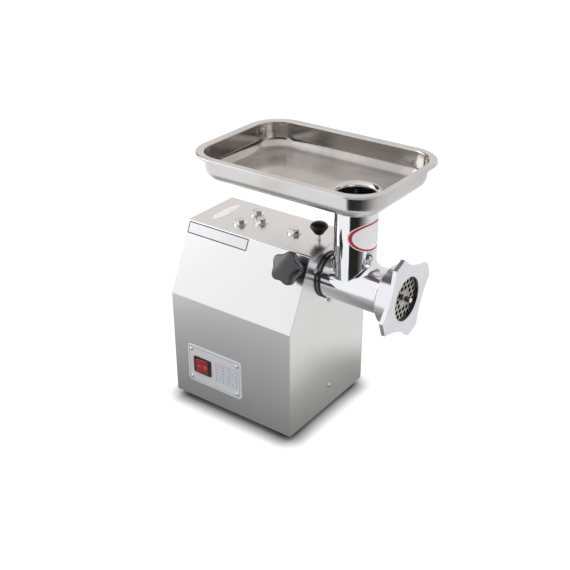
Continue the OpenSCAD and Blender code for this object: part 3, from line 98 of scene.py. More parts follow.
def feed(tree, value, socket):
    # the value is another node's output, or a plain number or colour
    if isinstance(value, bpy.types.NodeSocket):
        tree.links.new(value, socket)
    else:
        socket.default_value = value


def mathNode(tree, operation, *values):
    node = put(tree, "ShaderNodeMath", operation=operation)
    for value, socket in zip(values, node.inputs):
        feed(tree, value, socket)
    return node.outputs["Value"]


def vectorNode(tree, operation, *values, output="Vector"):
    node = put(tree, "ShaderNodeVectorMath", operation=operation)
    for value, socket in zip(values, node.inputs):
        feed(tree, value, socket)
    return node.outputs[output]


def mixOf(tree, kind, share, first, second):
    # goes from first to second as share goes from 0 to 1
    mix = put(tree, "ShaderNodeMix", data_type=kind)
    for label, value in (("Factor", share), ("A", first), ("B", second)):
        feed(tree, value, mix.inputs[label])
    return mix.outputs["Result"]


def smoothStep(tree, value, low, high):
    fade = put(tree, "ShaderNodeMapRange", {"From Min": low, "From Max": high},
               interpolation_type="SMOOTHSTEP")
    join(tree, (value, fade.inputs["Value"]))
    return fade.outputs["Result"]


def fadeOut(tree, value, low, high):
    return mathNode(tree, "SUBTRACT", 1.0, smoothStep(tree, value, low, high))


def newGroup(name, inputs, outputs):
    group = bpy.data.node_groups.new(name, "ShaderNodeTree")
    for label, kind, value in inputs:
        socket = group.interface.new_socket(name=label, in_out="INPUT", socket_type=kind)
        if value is not None:
            socket.default_value = value
    for label in outputs:
        group.interface.new_socket(name=label, in_out="OUTPUT", socket_type="NodeSocketFloat")
    return group, group.nodes.new("NodeGroupInput"), group.nodes.new("NodeGroupOutput")


def useGroup(tree, group, place, inputs=None):
    node = put(tree, "ShaderNodeGroup", inputs, node_tree=group)
    join(tree, (place, node.inputs["Vector"]))
    return node


# shared patterns of the finishes: the noise of each, and in metres how deep a full bump is
patterns = {
    "fineGrain": {"Scale": 1.0, "Detail": 3.0, "Roughness": 0.6},
    "wideStreak": {"Scale": 0.12, "Detail": 2.0, "Roughness": 0.5},
    "smudge": {"Detail": 4.0, "Roughness": 0.55, "Distortion": 0.6},
    "smudgeShows": (0.38, 0.66),
    "wave": {"Detail": 1.5, "Roughness": 0.5, "Distortion": 0.4},
    "pits": {"Detail": 3.0, "Roughness": 0.6},
    "waveDepth": 0.004,
    "grainDepth": 0.0004,
    "pitDepth": 0.0003,
}


def makeRolledGrain():
    # fine lines that run along the sheet, as rolling and brushing leave them
    group, given, result = newGroup(
        "rolledGrain",
        [("Vector", "NodeSocketVector", None),
         ("Stretch", "NodeSocketVector", (40.0, 900.0, 900.0))],
        ["Height", "Streak"])
    scaled = vectorNode(group, "MULTIPLY", given.outputs["Vector"], given.outputs["Stretch"])
    fine = put(group, "ShaderNodeTexNoise", patterns["fineGrain"])
    wide = put(group, "ShaderNodeTexNoise", patterns["wideStreak"])
    join(group, (scaled, fine.inputs["Vector"]), (fine.outputs["Fac"], result.inputs["Height"]),
         (scaled, wide.inputs["Vector"]), (wide.outputs["Fac"], result.inputs["Streak"]))
    return group


def makeHandledMarks():
    # soft smudges, as a wiped surface has
    group, given, result = newGroup(
        "handledMarks",
        [("Vector", "NodeSocketVector", None), ("Scale", "NodeSocketFloat", 14.0)],
        ["Smudge"])
    cloud = put(group, "ShaderNodeTexNoise", patterns["smudge"])
    shown = smoothStep(group, cloud.outputs["Fac"], *patterns["smudgeShows"])
    join(group, (given.outputs["Vector"], cloud.inputs["Vector"]),
         (given.outputs["Scale"], cloud.inputs["Scale"]), (shown, result.inputs["Smudge"]))
    return group


def makeCastSkin():
    # low waves and small pits of a hand polished casting
    group, given, result = newGroup(
        "castSkin",
        [("Vector", "NodeSocketVector", None), ("Wave Scale", "NodeSocketFloat", 28.0),
         ("Pit Scale", "NodeSocketFloat", 700.0)],
        ["Wave", "Pits"])
    wave = put(group, "ShaderNodeTexNoise", patterns["wave"])
    pits = put(group, "ShaderNodeTexNoise", patterns["pits"])
    for noise, scale, output in ((wave, "Wave Scale", "Wave"), (pits, "Pit Scale", "Pits")):
        join(group, (given.outputs["Vector"], noise.inputs["Vector"]),
             (given.outputs[scale], noise.inputs["Scale"]),
             (noise.outputs["Fac"], result.inputs[output]))
    return group


rolledGrain = makeRolledGrain()
handledMarks = makeHandledMarks()
castSkin = makeCastSkin()


def startMaterial(name):
    material = bpy.data.materials.new(name)
    material.use_nodes = True
    tree = material.node_tree
    shader = tree.nodes["Principled BSDF"]
    place = put(tree, "ShaderNodeTexCoord").outputs["Object"]
    return material, tree, shader, place


def tint(tree, mask, first, second, shader):
    colour = mixOf(tree, "RGBA", mask, (*first, 1.0), (*second, 1.0))
    join(tree, (colour, shader.inputs["Base Color"]))


def roughen(tree, mask, low, high, shader):
    spread = put(tree, "ShaderNodeMapRange", {"To Min": low, "To Max": high})
    join(tree, (mask, spread.inputs["Value"]),
         (spread.outputs["Result"], shader.inputs["Roughness"]))


def raiseBy(tree, height, strength, distance, shader, before=None):
    bump = put(tree, "ShaderNodeBump", {"Strength": strength, "Distance": distance})
    join(tree, (height, bump.inputs["Height"]), (bump.outputs["Normal"], shader.inputs["Normal"]))
    if before:
        join(tree, (before.outputs["Normal"], bump.inputs["Normal"]))
    return bump


# finishes of sheet, turned and cast metal. stretch is the grain's frequency along x, y and z,
# grain and wave are the strengths of their bumps, and smudge is how fine the smudges are
metals = {
    "casing_steel": dict(colour=(0.80, 0.80, 0.80), dark=(0.77, 0.77, 0.77),
                         rough=(0.22, 0.27), stretch=(60, 1400, 1400), grain=0.02, smudge=7),
    "panel_steel": dict(colour=(0.80, 0.80, 0.79), dark=(0.77, 0.77, 0.76),
                        rough=(0.20, 0.25), stretch=(1400, 60, 1400), grain=0.02, smudge=7),
    "bolt_steel": dict(colour=(0.80, 0.80, 0.79), dark=(0.62, 0.61, 0.58),
                       rough=(0.08, 0.18), stretch=(500, 500, 500), grain=0.03, smudge=60),
    "screw_steel": dict(colour=(0.72, 0.72, 0.72), dark=(0.55, 0.55, 0.54),
                        rough=(0.16, 0.30), stretch=(700, 700, 700), grain=0.04, smudge=80),
    "plate_alu": dict(colour=(0.80, 0.82, 0.87), dark=(0.77, 0.79, 0.84),
                      rough=(0.42, 0.52), stretch=(80, 1500, 1500), grain=0.04, smudge=20),
    "cast_alu": dict(colour=(0.46, 0.46, 0.47), dark=(0.33, 0.33, 0.34),
                     rough=(0.42, 0.62), stretch=(400, 400, 400), grain=0.25, smudge=30),
    "lamination": dict(colour=(0.30, 0.30, 0.31), dark=(0.18, 0.18, 0.18),
                       rough=(0.40, 0.55), stretch=(2000, 60, 60), grain=0.4, smudge=30),
    "copper_wire": dict(colour=(0.55, 0.22, 0.10), dark=(0.34, 0.12, 0.05),
                        rough=(0.30, 0.45), stretch=(1200, 300, 300), grain=0.5, smudge=60),
    "plain_steel": dict(colour=(0.62, 0.61, 0.59), dark=(0.46, 0.45, 0.43),
                        rough=(0.22, 0.36), stretch=(900, 160, 160), grain=0.06, smudge=40),
    "bearing_steel": dict(colour=(0.72, 0.72, 0.73), dark=(0.60, 0.60, 0.60),
                          rough=(0.12, 0.22), stretch=(900, 200, 200), grain=0.03, smudge=40),
    "brass_bush": dict(colour=(0.70, 0.52, 0.22), dark=(0.52, 0.37, 0.14),
                       rough=(0.22, 0.36), stretch=(600, 600, 600), grain=0.05, smudge=60),
    "head_chrome": dict(colour=(0.86, 0.86, 0.89), dark=(0.82, 0.82, 0.85),
                        rough=(0.04, 0.08), stretch=(500, 500, 500),
                        grain=0.005, smudge=14, wave=0.12),
    "knife_steel": dict(colour=(0.26, 0.24, 0.22), dark=(0.16, 0.15, 0.13),
                        rough=(0.22, 0.34), stretch=(160, 900, 900), grain=0.06, smudge=40),
    "nut_chrome": dict(colour=(0.84, 0.84, 0.88), dark=(0.79, 0.79, 0.83),
                       rough=(0.15, 0.22), stretch=(420, 420, 420),
                       grain=0.05, smudge=26, wave=0.05),
    "tray_steel": dict(colour=(0.68, 0.67, 0.67), dark=(0.60, 0.59, 0.58),
                       rough=(0.15, 0.24), stretch=(50, 1200, 1200), grain=0.04, smudge=12),
    # painted shade: the tray's inside, a darker copy of its steel
    "tray_inside_painted_shade": dict(colour=(0.60, 0.58, 0.56), dark=(0.46, 0.44, 0.42),
                        rough=(0.13, 0.20), stretch=(50, 1200, 1200), grain=0.012, smudge=9),
    "washer_steel": dict(colour=(0.93, 0.93, 0.92), dark=(0.84, 0.84, 0.82),
                         rough=(0.26, 0.36), stretch=(500, 500, 500), grain=0.02, smudge=60),
    # painted shade: the near black walls in the holes of the cutting plate
    "hole_wall_painted_shade": dict(colour=(0.05, 0.045, 0.04), dark=(0.02, 0.02, 0.02),
                      rough=(0.40, 0.55), stretch=(700, 700, 700), grain=0.05, smudge=60),
    # painted shade: the near black inside of the ring nut's opening and thread
    "nut_opening_painted_shade": dict(colour=(0.12, 0.11, 0.10), dark=(0.05, 0.05, 0.05),
                       rough=(0.30, 0.45), stretch=(700, 700, 700), grain=0.05, smudge=60),
    # painted shade: faces of the tray turned down, darker still
    "tray_below_painted_shade": dict(colour=(0.40, 0.39, 0.39), dark=(0.32, 0.31, 0.31),
                       rough=(0.22, 0.32), stretch=(50, 1200, 1200), grain=0.05, smudge=9),
    "stud_steel": dict(colour=(0.17, 0.13, 0.10), dark=(0.09, 0.07, 0.05),
                       rough=(0.35, 0.50), stretch=(600, 600, 600), grain=0.06, smudge=90),
    "plate_face": dict(colour=(0.52, 0.50, 0.46), dark=(0.34, 0.32, 0.29),
                       rough=(0.26, 0.38), stretch=(300, 900, 900), grain=0.06, smudge=50),
}


def metalFinish(name, look):
    material, tree, shader, place = startMaterial(name)
    shader.inputs["Metallic"].default_value = 1.0
    grain = useGroup(tree, rolledGrain, place, {"Stretch": look["stretch"]})
    smudge = useGroup(tree, handledMarks, place, {"Scale": look["smudge"]}).outputs["Smudge"]
    tint(tree, smudge, look["colour"], look["dark"], shader)
    dulled = mathNode(tree, "MULTIPLY", grain.outputs["Streak"], smudge)
    roughen(tree, dulled, *look["rough"], shader)
    waves = None
    if "wave" in look:
        skin = useGroup(tree, castSkin, place)
        waves = raiseBy(tree, skin.outputs["Wave"], look["wave"], patterns["waveDepth"], shader)
    raiseBy(tree, grain.outputs["Height"], look["grain"], patterns["grainDepth"], shader, waves)
    return material


# finishes of plastic, rubber, paint and print. pits is how fine the pits are, and bump how strong
plastics = {
    "black_rubber": dict(colour=(0.014, 0.014, 0.014), worn=(0.03, 0.03, 0.029),
                         rough=(0.55, 0.75), pits=900, bump=0.25),
    "ring_rubber": dict(colour=(0.012, 0.012, 0.012), worn=(0.024, 0.024, 0.024),
                        rough=(0.35, 0.5), pits=900, bump=0.1),
    "black_plastic": dict(colour=(0.012, 0.012, 0.013), worn=(0.022, 0.022, 0.022),
                          rough=(0.28, 0.42), pits=1400, bump=0.12),
    "red_plastic": dict(colour=(0.27, 0.006, 0.010), worn=(0.36, 0.012, 0.018),
                        rough=(0.14, 0.24), pits=500, bump=0.04, coat=0.4),
    "painted_steel": dict(colour=(0.10, 0.11, 0.12), worn=(0.16, 0.17, 0.18),
                          rough=(0.35, 0.5), pits=300, bump=0.15),
    "cream_plastic": dict(colour=(0.74, 0.72, 0.66), worn=(0.66, 0.64, 0.58),
                          rough=(0.35, 0.48), pits=500, bump=0.05),
    "knob_black": dict(colour=(0.006, 0.006, 0.008), worn=(0.012, 0.012, 0.016),
                       rough=(0.14, 0.24), pits=420, bump=0.04, ior=1.75),
    "nylon_gear": dict(colour=(0.80, 0.78, 0.70), worn=(0.70, 0.67, 0.58),
                       rough=(0.35, 0.5), pits=500, bump=0.05),
    "ball_black": dict(colour=(0.004, 0.004, 0.005), worn=(0.009, 0.009, 0.010),
                       rough=(0.12, 0.20), pits=420, bump=0.03, ior=1.4),
    "label_white": dict(colour=(0.93, 0.93, 0.95), worn=(0.90, 0.90, 0.92),
                        rough=(0.22, 0.32), pits=300, bump=0.02),
    "label_ink": dict(colour=(0.025, 0.025, 0.030), worn=(0.05, 0.05, 0.055),
                      rough=(0.24, 0.34), pits=300, bump=0.02),
    "label_red": dict(colour=(0.46, 0.025, 0.035), worn=(0.54, 0.05, 0.06),
                      rough=(0.22, 0.32), pits=300, bump=0.02),
    "label_pink": dict(colour=(0.86, 0.70, 0.66), worn=(0.86, 0.76, 0.73),
                       rough=(0.22, 0.32), pits=300, bump=0.02),
    "rocker_print": dict(colour=(0.72, 0.42, 0.40), worn=(0.66, 0.36, 0.34),
                         rough=(0.22, 0.32), pits=300, bump=0.02),
    "plate_print": dict(colour=(0.74, 0.74, 0.79), worn=(0.70, 0.70, 0.75),
                        rough=(0.30, 0.42), pits=600, bump=0.03),
    "table_ink": dict(colour=(0.14, 0.19, 0.32), worn=(0.20, 0.25, 0.38),
                      rough=(0.34, 0.44), pits=300, bump=0.02),
    "label_cream": dict(colour=(0.94, 0.92, 0.89), worn=(0.90, 0.88, 0.85),
                        rough=(0.22, 0.32), pits=300, bump=0.02),
}
# for all of them: coat and ior hold where a finish gives none of its own
everyPlastic = {"smudge": 40.0, "coatRoughness": 0.08, "coat": 0.0, "ior": 1.5}


def plasticFinish(name, look):
    material, tree, shader, place = startMaterial(name)
    shader.inputs["Coat Weight"].default_value = look.get("coat", everyPlastic["coat"])
    shader.inputs["Coat Roughness"].default_value = everyPlastic["coatRoughness"]
    shader.inputs["IOR"].default_value = look.get("ior", everyPlastic["ior"])
    marks = useGroup(tree, handledMarks, place, {"Scale": everyPlastic["smudge"]})
    skin = useGroup(tree, castSkin, place, {"Pit Scale": look["pits"]})
    tint(tree, marks.outputs["Smudge"], look["colour"], look["worn"], shader)
    roughen(tree, marks.outputs["Smudge"], *look["rough"], shader)
    raiseBy(tree, skin.outputs["Pits"], look["bump"], patterns["pitDepth"], shader)
    return material


finishes = {name: metalFinish(name, look) for name, look in metals.items()}
finishes.update({name: plasticFinish(name, look) for name, look in plastics.items()})
print("finishes made")

for node, obj in cadNodes.items():
    material = finishes[slotOfNode[node]]
    if obj.data.materials:
        for index in range(len(obj.data.materials)):
            obj.data.materials[index] = material
    else:
        obj.data.materials.append(material)
print("finishes given to", len(cadNodes), "nodes")


# mesh helpers. Sizes in the dictionaries are in mm, and slope is the near upper wall of the housing
mm = 0.001
slopeUp = Vector((0.0, 0.42165, 0.90677))
slopeOut = Vector((0.0, -0.90677, 0.42165))
onSlope = Matrix(((1, 0, 0), slopeUp, slopeOut)).transposed().to_4x4()
onNearSide = Matrix.Rotation(math.radians(90), 4, "X")
meshing = {"mergeCopy": 0.003, "mergeTurned": 0.001, "flatAngle": 0.3, "sharpAngle": 32.0,
           "bevelAngle": 35.0, "domeStep": 10, "cornerSegments": 8}


def copyOf(node):
    # a node's mesh with its loose triangles merged and each flat area in one face
    bm = bmesh.new()
    bm.from_mesh(cadNodes[node].data)
    bmesh.ops.remove_doubles(bm, verts=bm.verts, dist=meshing["mergeCopy"] * mm)
    bmesh.ops.dissolve_limit(bm, angle_limit=math.radians(meshing["flatAngle"]),
                             verts=bm.verts, edges=bm.edges)
    return bm


def turnedShape(profile, steps):
    # a closed or pole to pole profile of (radius, height) in mm, spun about Z
    bm = bmesh.new()
    points = [bm.verts.new((radius * mm, 0.0, height * mm)) for radius, height in profile]
    edges = [bm.edges.new(pair) for pair in zip(points, points[1:])]
    bmesh.ops.spin(bm, geom=points + edges, cent=(0, 0, 0), axis=(0, 0, 1),
                   angle=2 * math.pi, steps=steps, use_merge=True)
    bmesh.ops.remove_doubles(bm, verts=bm.verts, dist=meshing["mergeTurned"] * mm)
    bmesh.ops.recalc_face_normals(bm, faces=bm.faces)
    return bm


def domeProfile(radius, foot, top):
    # a quarter of an oval, from its edge at the foot to the pole
    arc = [math.radians(a) for a in range(0, 90, meshing["domeStep"])]
    return [(radius * math.cos(a), foot + (top - foot) * math.sin(a)) for a in arc] + [(0.0, top)]


def setAt(bm, place, turn):
    bmesh.ops.transform(bm, matrix=Matrix.Translation(place) @ turn, verts=bm.verts)


def joined(parts):
    # one mesh of several shapes, each copied and set under its own matrix
    whole = bmesh.new()
    for bm, matrix in parts:
        one = bm.copy()
        bmesh.ops.transform(one, matrix=matrix, verts=one.verts)
        mesh = bpy.data.meshes.new("onePart")
        one.to_mesh(mesh)
        one.free()
        whole.from_mesh(mesh)
        bpy.data.meshes.remove(mesh)
    return whole


def objectFrom(name, bm):
    mesh = bpy.data.meshes.new(name)
    bm.to_mesh(mesh)
    bm.free()
    obj = bpy.data.objects.new(name, mesh)
    bpy.context.scene.collection.objects.link(obj)
    return obj


def pieceFrom(name, bm, body, looks, instead=(), sharp=meshing["sharpAngle"],
              edge=None, evened=True):
    obj = objectFrom(name, bm)
    for look in looks:
        obj.data.materials.append(finishes[look])
    obj.data.shade_smooth()
    obj.data.set_sharp_from_angle(angle=math.radians(sharp))
    if edge:
        bevel = obj.modifiers.new("edges", "BEVEL")
        bevel.width, bevel.segments = edge["width"] * mm, edge["segments"]
        bevel.limit_method, bevel.angle_limit = "ANGLE", math.radians(meshing["bevelAngle"])
        bevel.use_clamp_overlap = edge.get("clamp", True)
        bevel.miter_outer = "MITER_ARC"
    if evened:
        even = obj.modifiers.new("evenNormals", "WEIGHTED_NORMAL")
        even.keep_sharp = True
    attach(obj, body)
    if instead:
        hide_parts(*instead)
    return obj


# nodes shown as one smooth skin each, with their edges broken where a width is given
skins = {
    "near_side_panel": dict(name="nearSidePanel"),
    "far_side_panel": dict(name="farSidePanel"),
    "front_panel": dict(name="frontPanel"),
    "rear_panel": dict(name="rearPanel"),
    "top_plate": dict(name="topPlate"),
    "base_plate": dict(name="basePlate"),
    "top_bolts": dict(name="topBolts", edge=dict(width=0.35, segments=2)),
    "top_washers": dict(name="topWashers", look="washer_steel", edge=dict(width=0.4, segments=3)),
    "feet": dict(name="rubberFeet", edge=dict(width=0.8, segments=3)),
    "switch_body": dict(name="switchBody", edge=dict(width=0.5, segments=3, clamp=False)),
    "cord_gland": dict(name="cordGland", edge=dict(width=0.3, segments=2)),
    "head_casting": dict(name="headCasting", sharp=38.0),
    "head_ring": dict(name="headRing", look="ring_rubber", edge=dict(width=0.5, segments=3)),
    "auger": dict(name="augerScrew", sharp=40.0),
    "knife": dict(name="fourWingKnife", edge=dict(width=0.2, segments=2)),
    "tray_spout": dict(name="traySpout"),
    "clamp_screw": dict(name="clampScrew", edge=dict(width=0.3, segments=2)),
    "locking_pin": dict(name="lockingPin", edge=dict(width=0.25, segments=2)),
}
for node, skin in skins.items():
    slotName = slotOfNode[node]
    pieceFrom(skin["name"], copyOf(node), bodyOfNode[node],
              [skin.get("look", slotName)], instead=(node,),
              sharp=skin.get("sharp", meshing["sharpAngle"]), edge=skin.get("edge"))
print("skins made:", len(skins))


# lobed ring nut: polished outside, and painted shade inside its opening and thread, coloured near
# black
ringNut = {"axisHeight": 231.0, "lip": 29.2, "inside": 38.2, "facesIn": -0.3,
           "edge": dict(width=0.3, segments=2)}


def addRingNut():
    k = ringNut
    bm = copyOf("ring_nut")
    for face in bm.faces:
        centre = face.calc_center_median()
        arm = Vector((0.0, centre.y, centre.z - k["axisHeight"] * mm))
        within = k["lip"] * mm < arm.length < k["inside"] * mm
        # inward facing faces in the opening get the painted shade
        if within and arm.normalized().dot(face.normal) < k["facesIn"]:
            face.material_index = 1
    pieceFrom("lobedRingNut", bm, "ring_nut", ["nut_chrome", "nut_opening_painted_shade"],
              instead=("ring_nut",), edge=k["edge"])


addRingNut()


# cutting plate: bright face, and painted shade on the walls in its holes, which are coloured near
# black
cuttingPlate = {"facesOut": 0.7, "edge": dict(width=0.2, segments=2)}


def addCuttingPlate():
    bm = copyOf("cutting_plate")
    for face in bm.faces:
        # faces that don't face along x are the hole walls, and they get the painted shade
        if abs(face.normal.x) < cuttingPlate["facesOut"]:
            face.material_index = 1
    pieceFrom("cuttingPlate", bm, bodyOfNode["cutting_plate"],
              ["plate_face", "hole_wall_painted_shade"], instead=("cutting_plate",), edge=cuttingPlate["edge"])


addCuttingPlate()


# pressed tray: one steel in three tones. The rim, the collar round the throat and the outer wall
# keep the lighter tone, the inside is painted darker as shade, and faces turned down are painted
# darker still as shade
feedTray = {"rimHeight": 399.4, "belowHeight": 366.0, "throat": (89.3, 0.0), "collarRadius": 30.0,
            "facesOut": 0.02, "wallTilt": 0.2, "facesDown": -0.3, "sharp": 40.0}


def addFeedTray():
    k = feedTray
    bm = copyOf("feed_tray")
    low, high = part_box("feed_tray")
    middle, size = (low + high) / 2, high - low
    for face in bm.faces:
        centre, normal = face.calc_center_median(), face.normal
        outwards = ((centre.x - middle.x) * normal.x / size.x
                    + (centre.y - middle.y) * normal.y / size.y)
        fromThroat = math.hypot(centre.x / mm - k["throat"][0], centre.y / mm - k["throat"][1])
        outerWall = (outwards > k["facesOut"] and normal.z < k["wallTilt"]
                     and centre.z > k["belowHeight"] * mm)
        # rim, collar and outer wall stay light; faces turned down get the painted shade below, and
        # the rest gets the painted shade inside
        if centre.z > k["rimHeight"] * mm or fromThroat < k["collarRadius"] or outerWall:
            face.material_index = 1
        elif normal.z < k["facesDown"]:
            face.material_index = 2
    pieceFrom("feedTray", bm, "tray", ["tray_inside_painted_shade", "tray_steel", "tray_below_painted_shade"],
              instead=("feed_tray",), sharp=k["sharp"])


addFeedTray()


# ball knob of the locking pin: a cone that runs into a dome, with a flat foot.
# waist is in shares of the radius and the height, and the dome starts below its widest place
ballKnob = {"radius": 12.5, "height": 18.0, "foot": 5.0, "bore": 2.84, "boreDepth": 9.0,
            "waist": ((0.50, 0.03), (0.535, 0.07)), "widestAt": 0.6, "domeAbove": 0.4,
            "domeFrom": -30, "domeStep": 6, "place": (31.0, 0.0, 287.5), "steps": 72,
            "sharp": 40.0}


def addBallKnob():
    k = ballKnob
    radius, height = k["radius"], k["height"]
    profile = [(0.0, k["boreDepth"]), (k["bore"], k["boreDepth"]), (k["bore"], 0.0),
               (k["foot"], 0.0)]
    profile += [(across * radius, up * height) for across, up in k["waist"]]
    for a in range(k["domeFrom"], 91, k["domeStep"]):
        turn = math.radians(a)
        profile.append((max(radius * math.cos(turn), 0.0),
                        height * (k["widestAt"] + k["domeAbove"] * math.sin(turn))))
    bm = turnedShape(profile, k["steps"])
    bmesh.ops.translate(bm, vec=Vector(k["place"]) * mm, verts=bm.verts)
    pieceFrom("ballKnob", bm, "locking_pin", ["ball_black"],
              instead=("ball_knob",), sharp=k["sharp"])


addBallKnob()


# five lobed clamp knob: a turned, domed blank whose rim is drawn into lobes, square to the slope
clampKnob = {
    "reach": 23.3, "valley": 4.6, "lobes": 5, "phase": 9.0, "lobesFrom": 12.0,
    "axisPoint": (31.0, 0.0, 231.0), "steps": 150, "sharp": 50.0,
    "profile": ((0.0, 82.0), (4.04, 82.0), (4.04, 71.8), (8.0, 71.8), (8.6, 72.6), (10.0, 76.8),
                (15.0, 76.8), (20.8, 76.9), (22.3, 77.5), (23.1, 78.9), (23.3, 80.6), (23.3, 83.0),
                (23.3, 85.8), (23.1, 86.9), (22.5, 87.8), (21.4, 88.5), (19.4, 89.1), (16.0, 90.0),
                (12.0, 90.85), (8.0, 91.4), (4.0, 91.7), (0.0, 91.8)),
}


def addClampKnob():
    k = clampKnob
    bm = turnedShape(k["profile"], k["steps"])
    for vert in bm.verts:
        flat = Vector((vert.co.x, vert.co.y, 0.0))
        share = (flat.length / mm - k["lobesFrom"]) / (k["reach"] - k["lobesFrom"])
        share = min(max(share, 0.0), 1.0)
        wave = math.cos(k["lobes"] * (math.atan2(flat.y, flat.x) - math.radians(k["phase"])))
        drawn = 1.0 - share * k["valley"] / k["reach"] * (0.5 - 0.5 * wave)
        vert.co = Vector((flat.x * drawn, flat.y * drawn, vert.co.z))
    setAt(bm, Vector(k["axisPoint"]) * mm, onSlope)
    pieceFrom("lobedClampKnob", bm, "clamp_screw", ["knob_black"],
              instead=("clamp_knob",), sharp=k["sharp"])


addClampKnob()


# pan head screws with a cross recess, in the two end panels
panScrew = {"radius": 3.8, "head": 2.4, "rim": 0.35, "shank": 2.0, "length": 6.0, "recess": 1.5,
            "wing": 2.5, "slotWidth": 0.95, "taper": 0.55, "steps": 48, "cutAbove": 0.2,
            "sharp": 28.0}
screwPlaces = {
    "frontLow": dict(place=(50.0, 5.0, 44.0), turn=90.0, roll=20.0),
    "rearLow": dict(place=(-160.0, 5.0, 44.0), turn=-90.0, roll=55.0),
    "noseLow": dict(place=(50.0, 0.0, 191.0), turn=90.0, roll=5.0),
    "noseNear": dict(place=(50.0, -34.64, 251.0), turn=90.0, roll=38.0),
    "noseFar": dict(place=(50.0, 34.64, 251.0), turn=90.0, roll=70.0),
}


def crossRecess(k):
    # a plus shaped cutter, tapered downwards
    bm = bmesh.new()
    bmesh.ops.create_grid(bm, x_segments=3, y_segments=3, size=k["wing"] * mm)
    half = k["slotWidth"] / 2 * mm
    for vert in bm.verts:
        for axis in (0, 1):
            if abs(vert.co[axis]) < k["wing"] / 2 * mm:  # on one of the two inner lines
                vert.co[axis] = math.copysign(half, vert.co[axis])
    centres = {face: face.calc_center_median() for face in bm.faces}
    corners = [face for face, at in centres.items() if min(abs(at.x), abs(at.y)) > half]
    bmesh.ops.delete(bm, geom=corners, context="FACES")
    bmesh.ops.solidify(bm, geom=bm.faces[:], thickness=k["recess"] * mm)
    low = min(v.co.z for v in bm.verts)
    for vert in bm.verts:
        if vert.co.z - low < k["recess"] / 2 * mm:
            vert.co.x *= k["taper"]
            vert.co.y *= k["taper"]
    bmesh.ops.recalc_face_normals(bm, faces=bm.faces)
    return bm


def addPanScrews():
    k = panScrew
    profile = [(0.0, -k["length"]), (k["shank"], -k["length"]), (k["shank"], 0.0),
               (k["radius"], 0.0)] + domeProfile(k["radius"], k["rim"], k["head"])
    head = turnedShape(profile, k["steps"])
    recess = crossRecess(k)
    lift = (k["head"] + k["cutAbove"]) * mm - max(v.co.z for v in recess.verts)
    bmesh.ops.translate(recess, vec=(0, 0, lift), verts=recess.verts)
    blank, cutter = objectFrom("screwBlank", head), objectFrom("screwRecess", recess)
    cut = blank.modifiers.new("recess", "BOOLEAN")
    cut.operation, cut.object, cut.solver = "DIFFERENCE", cutter, "EXACT"
    bpy.context.view_layer.update()
    screw = bmesh.new()
    screw.from_object(blank, bpy.context.evaluated_depsgraph_get())
    for obj in (blank, cutter):
        bpy.data.objects.remove(obj)
    parts = []
    for spot in screwPlaces.values():
        turn = Matrix.Rotation(math.radians(spot["turn"]), 4, "Y")
        turn = turn @ Matrix.Rotation(math.radians(spot["roll"]), 4, "Z")
        parts.append((screw, Matrix.Translation(Vector(spot["place"]) * mm) @ turn))
    whole = joined(parts)
    screw.free()
    pieceFrom("crossHeadScrews", whole, "housing", ["screw_steel"],
              instead=("panel_screws",), sharp=k["sharp"])


addPanScrews()


# domed rivets of the data plate
plateRivet = {"radius": 2.75, "dome": 2.0, "shank": 1.55, "length": 3.0, "steps": 40,
              "sharp": 40.0}


def addRivets():
    k = plateRivet
    shank = [(0.0, -k["length"]), (k["shank"], -k["length"]), (k["shank"], 0.0)]
    rivet = turnedShape(shank + domeProfile(k["radius"], 0.0, k["dome"]), k["steps"])
    low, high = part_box("plate_rivets")
    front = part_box("data_plate")[0].y
    inset = Vector((k["radius"] * mm, 0, k["radius"] * mm))
    spots = [(x, front, z) for x in (low.x + inset.x, high.x - inset.x)
             for z in (low.z + inset.z, high.z - inset.z)]
    whole = joined([(rivet, Matrix.Translation(spot) @ onNearSide) for spot in spots])
    rivet.free()
    pieceFrom("domedRivets", whole, "housing", ["bolt_steel"],
              instead=("plate_rivets",), sharp=k["sharp"])


addRivets()


# flat printed pieces
def closeSheet(bm, thickness):
    bmesh.ops.solidify(bm, geom=bm.faces[:], thickness=thickness * mm)
    bmesh.ops.recalc_face_normals(bm, faces=bm.faces)
    bmesh.ops.translate(bm, vec=(0, 0, -min(v.co.z for v in bm.verts)), verts=bm.verts)
    return bm


def printedShape(length, height, corner, lines, thickness):
    # lines is a list of (width, finish number) from the edge inwards, and the middle is finish 0
    bm = bmesh.new()
    bmesh.ops.create_grid(bm, x_segments=1, y_segments=1, size=0.5)
    bmesh.ops.scale(bm, vec=(length * mm, height * mm, 1.0), verts=bm.verts)
    bmesh.ops.bevel(bm, geom=bm.verts[:], offset=corner * mm, offset_type="OFFSET",
                    affect="VERTICES", segments=meshing["cornerSegments"], profile=0.5,
                    material=-1)
    middle = bm.faces[:]
    for width, look in lines:
        ring = bmesh.ops.inset_region(bm, faces=middle, thickness=width * mm,
                                      use_even_offset=True, use_boundary=True)["faces"]
        for face in ring:
            face.material_index = look
    return closeSheet(bm, thickness)


def ovalShape(k):
    # rings of a disc of one metre, stretched to an oval, with a coloured band.
    # band says where it starts and ends, as shares of the way in from the edge
    outer, inner = [1 - share for share in k["band"]]
    marks = {round(i / k["rings"], 4) for i in range(k["rings"] + 1)}
    marks |= {round(outer, 4), round(inner, 4)}
    bm = turnedShape([(mark / mm, 0.0) for mark in sorted(marks)], k["steps"])
    for face in bm.faces:
        if inner < face.calc_center_median().length < outer:
            face.material_index = 1
    bmesh.ops.scale(bm, vec=(k["halfLength"] * mm, k["halfHeight"] * mm, 1.0), verts=bm.verts)
    return closeSheet(bm, k["thickness"])


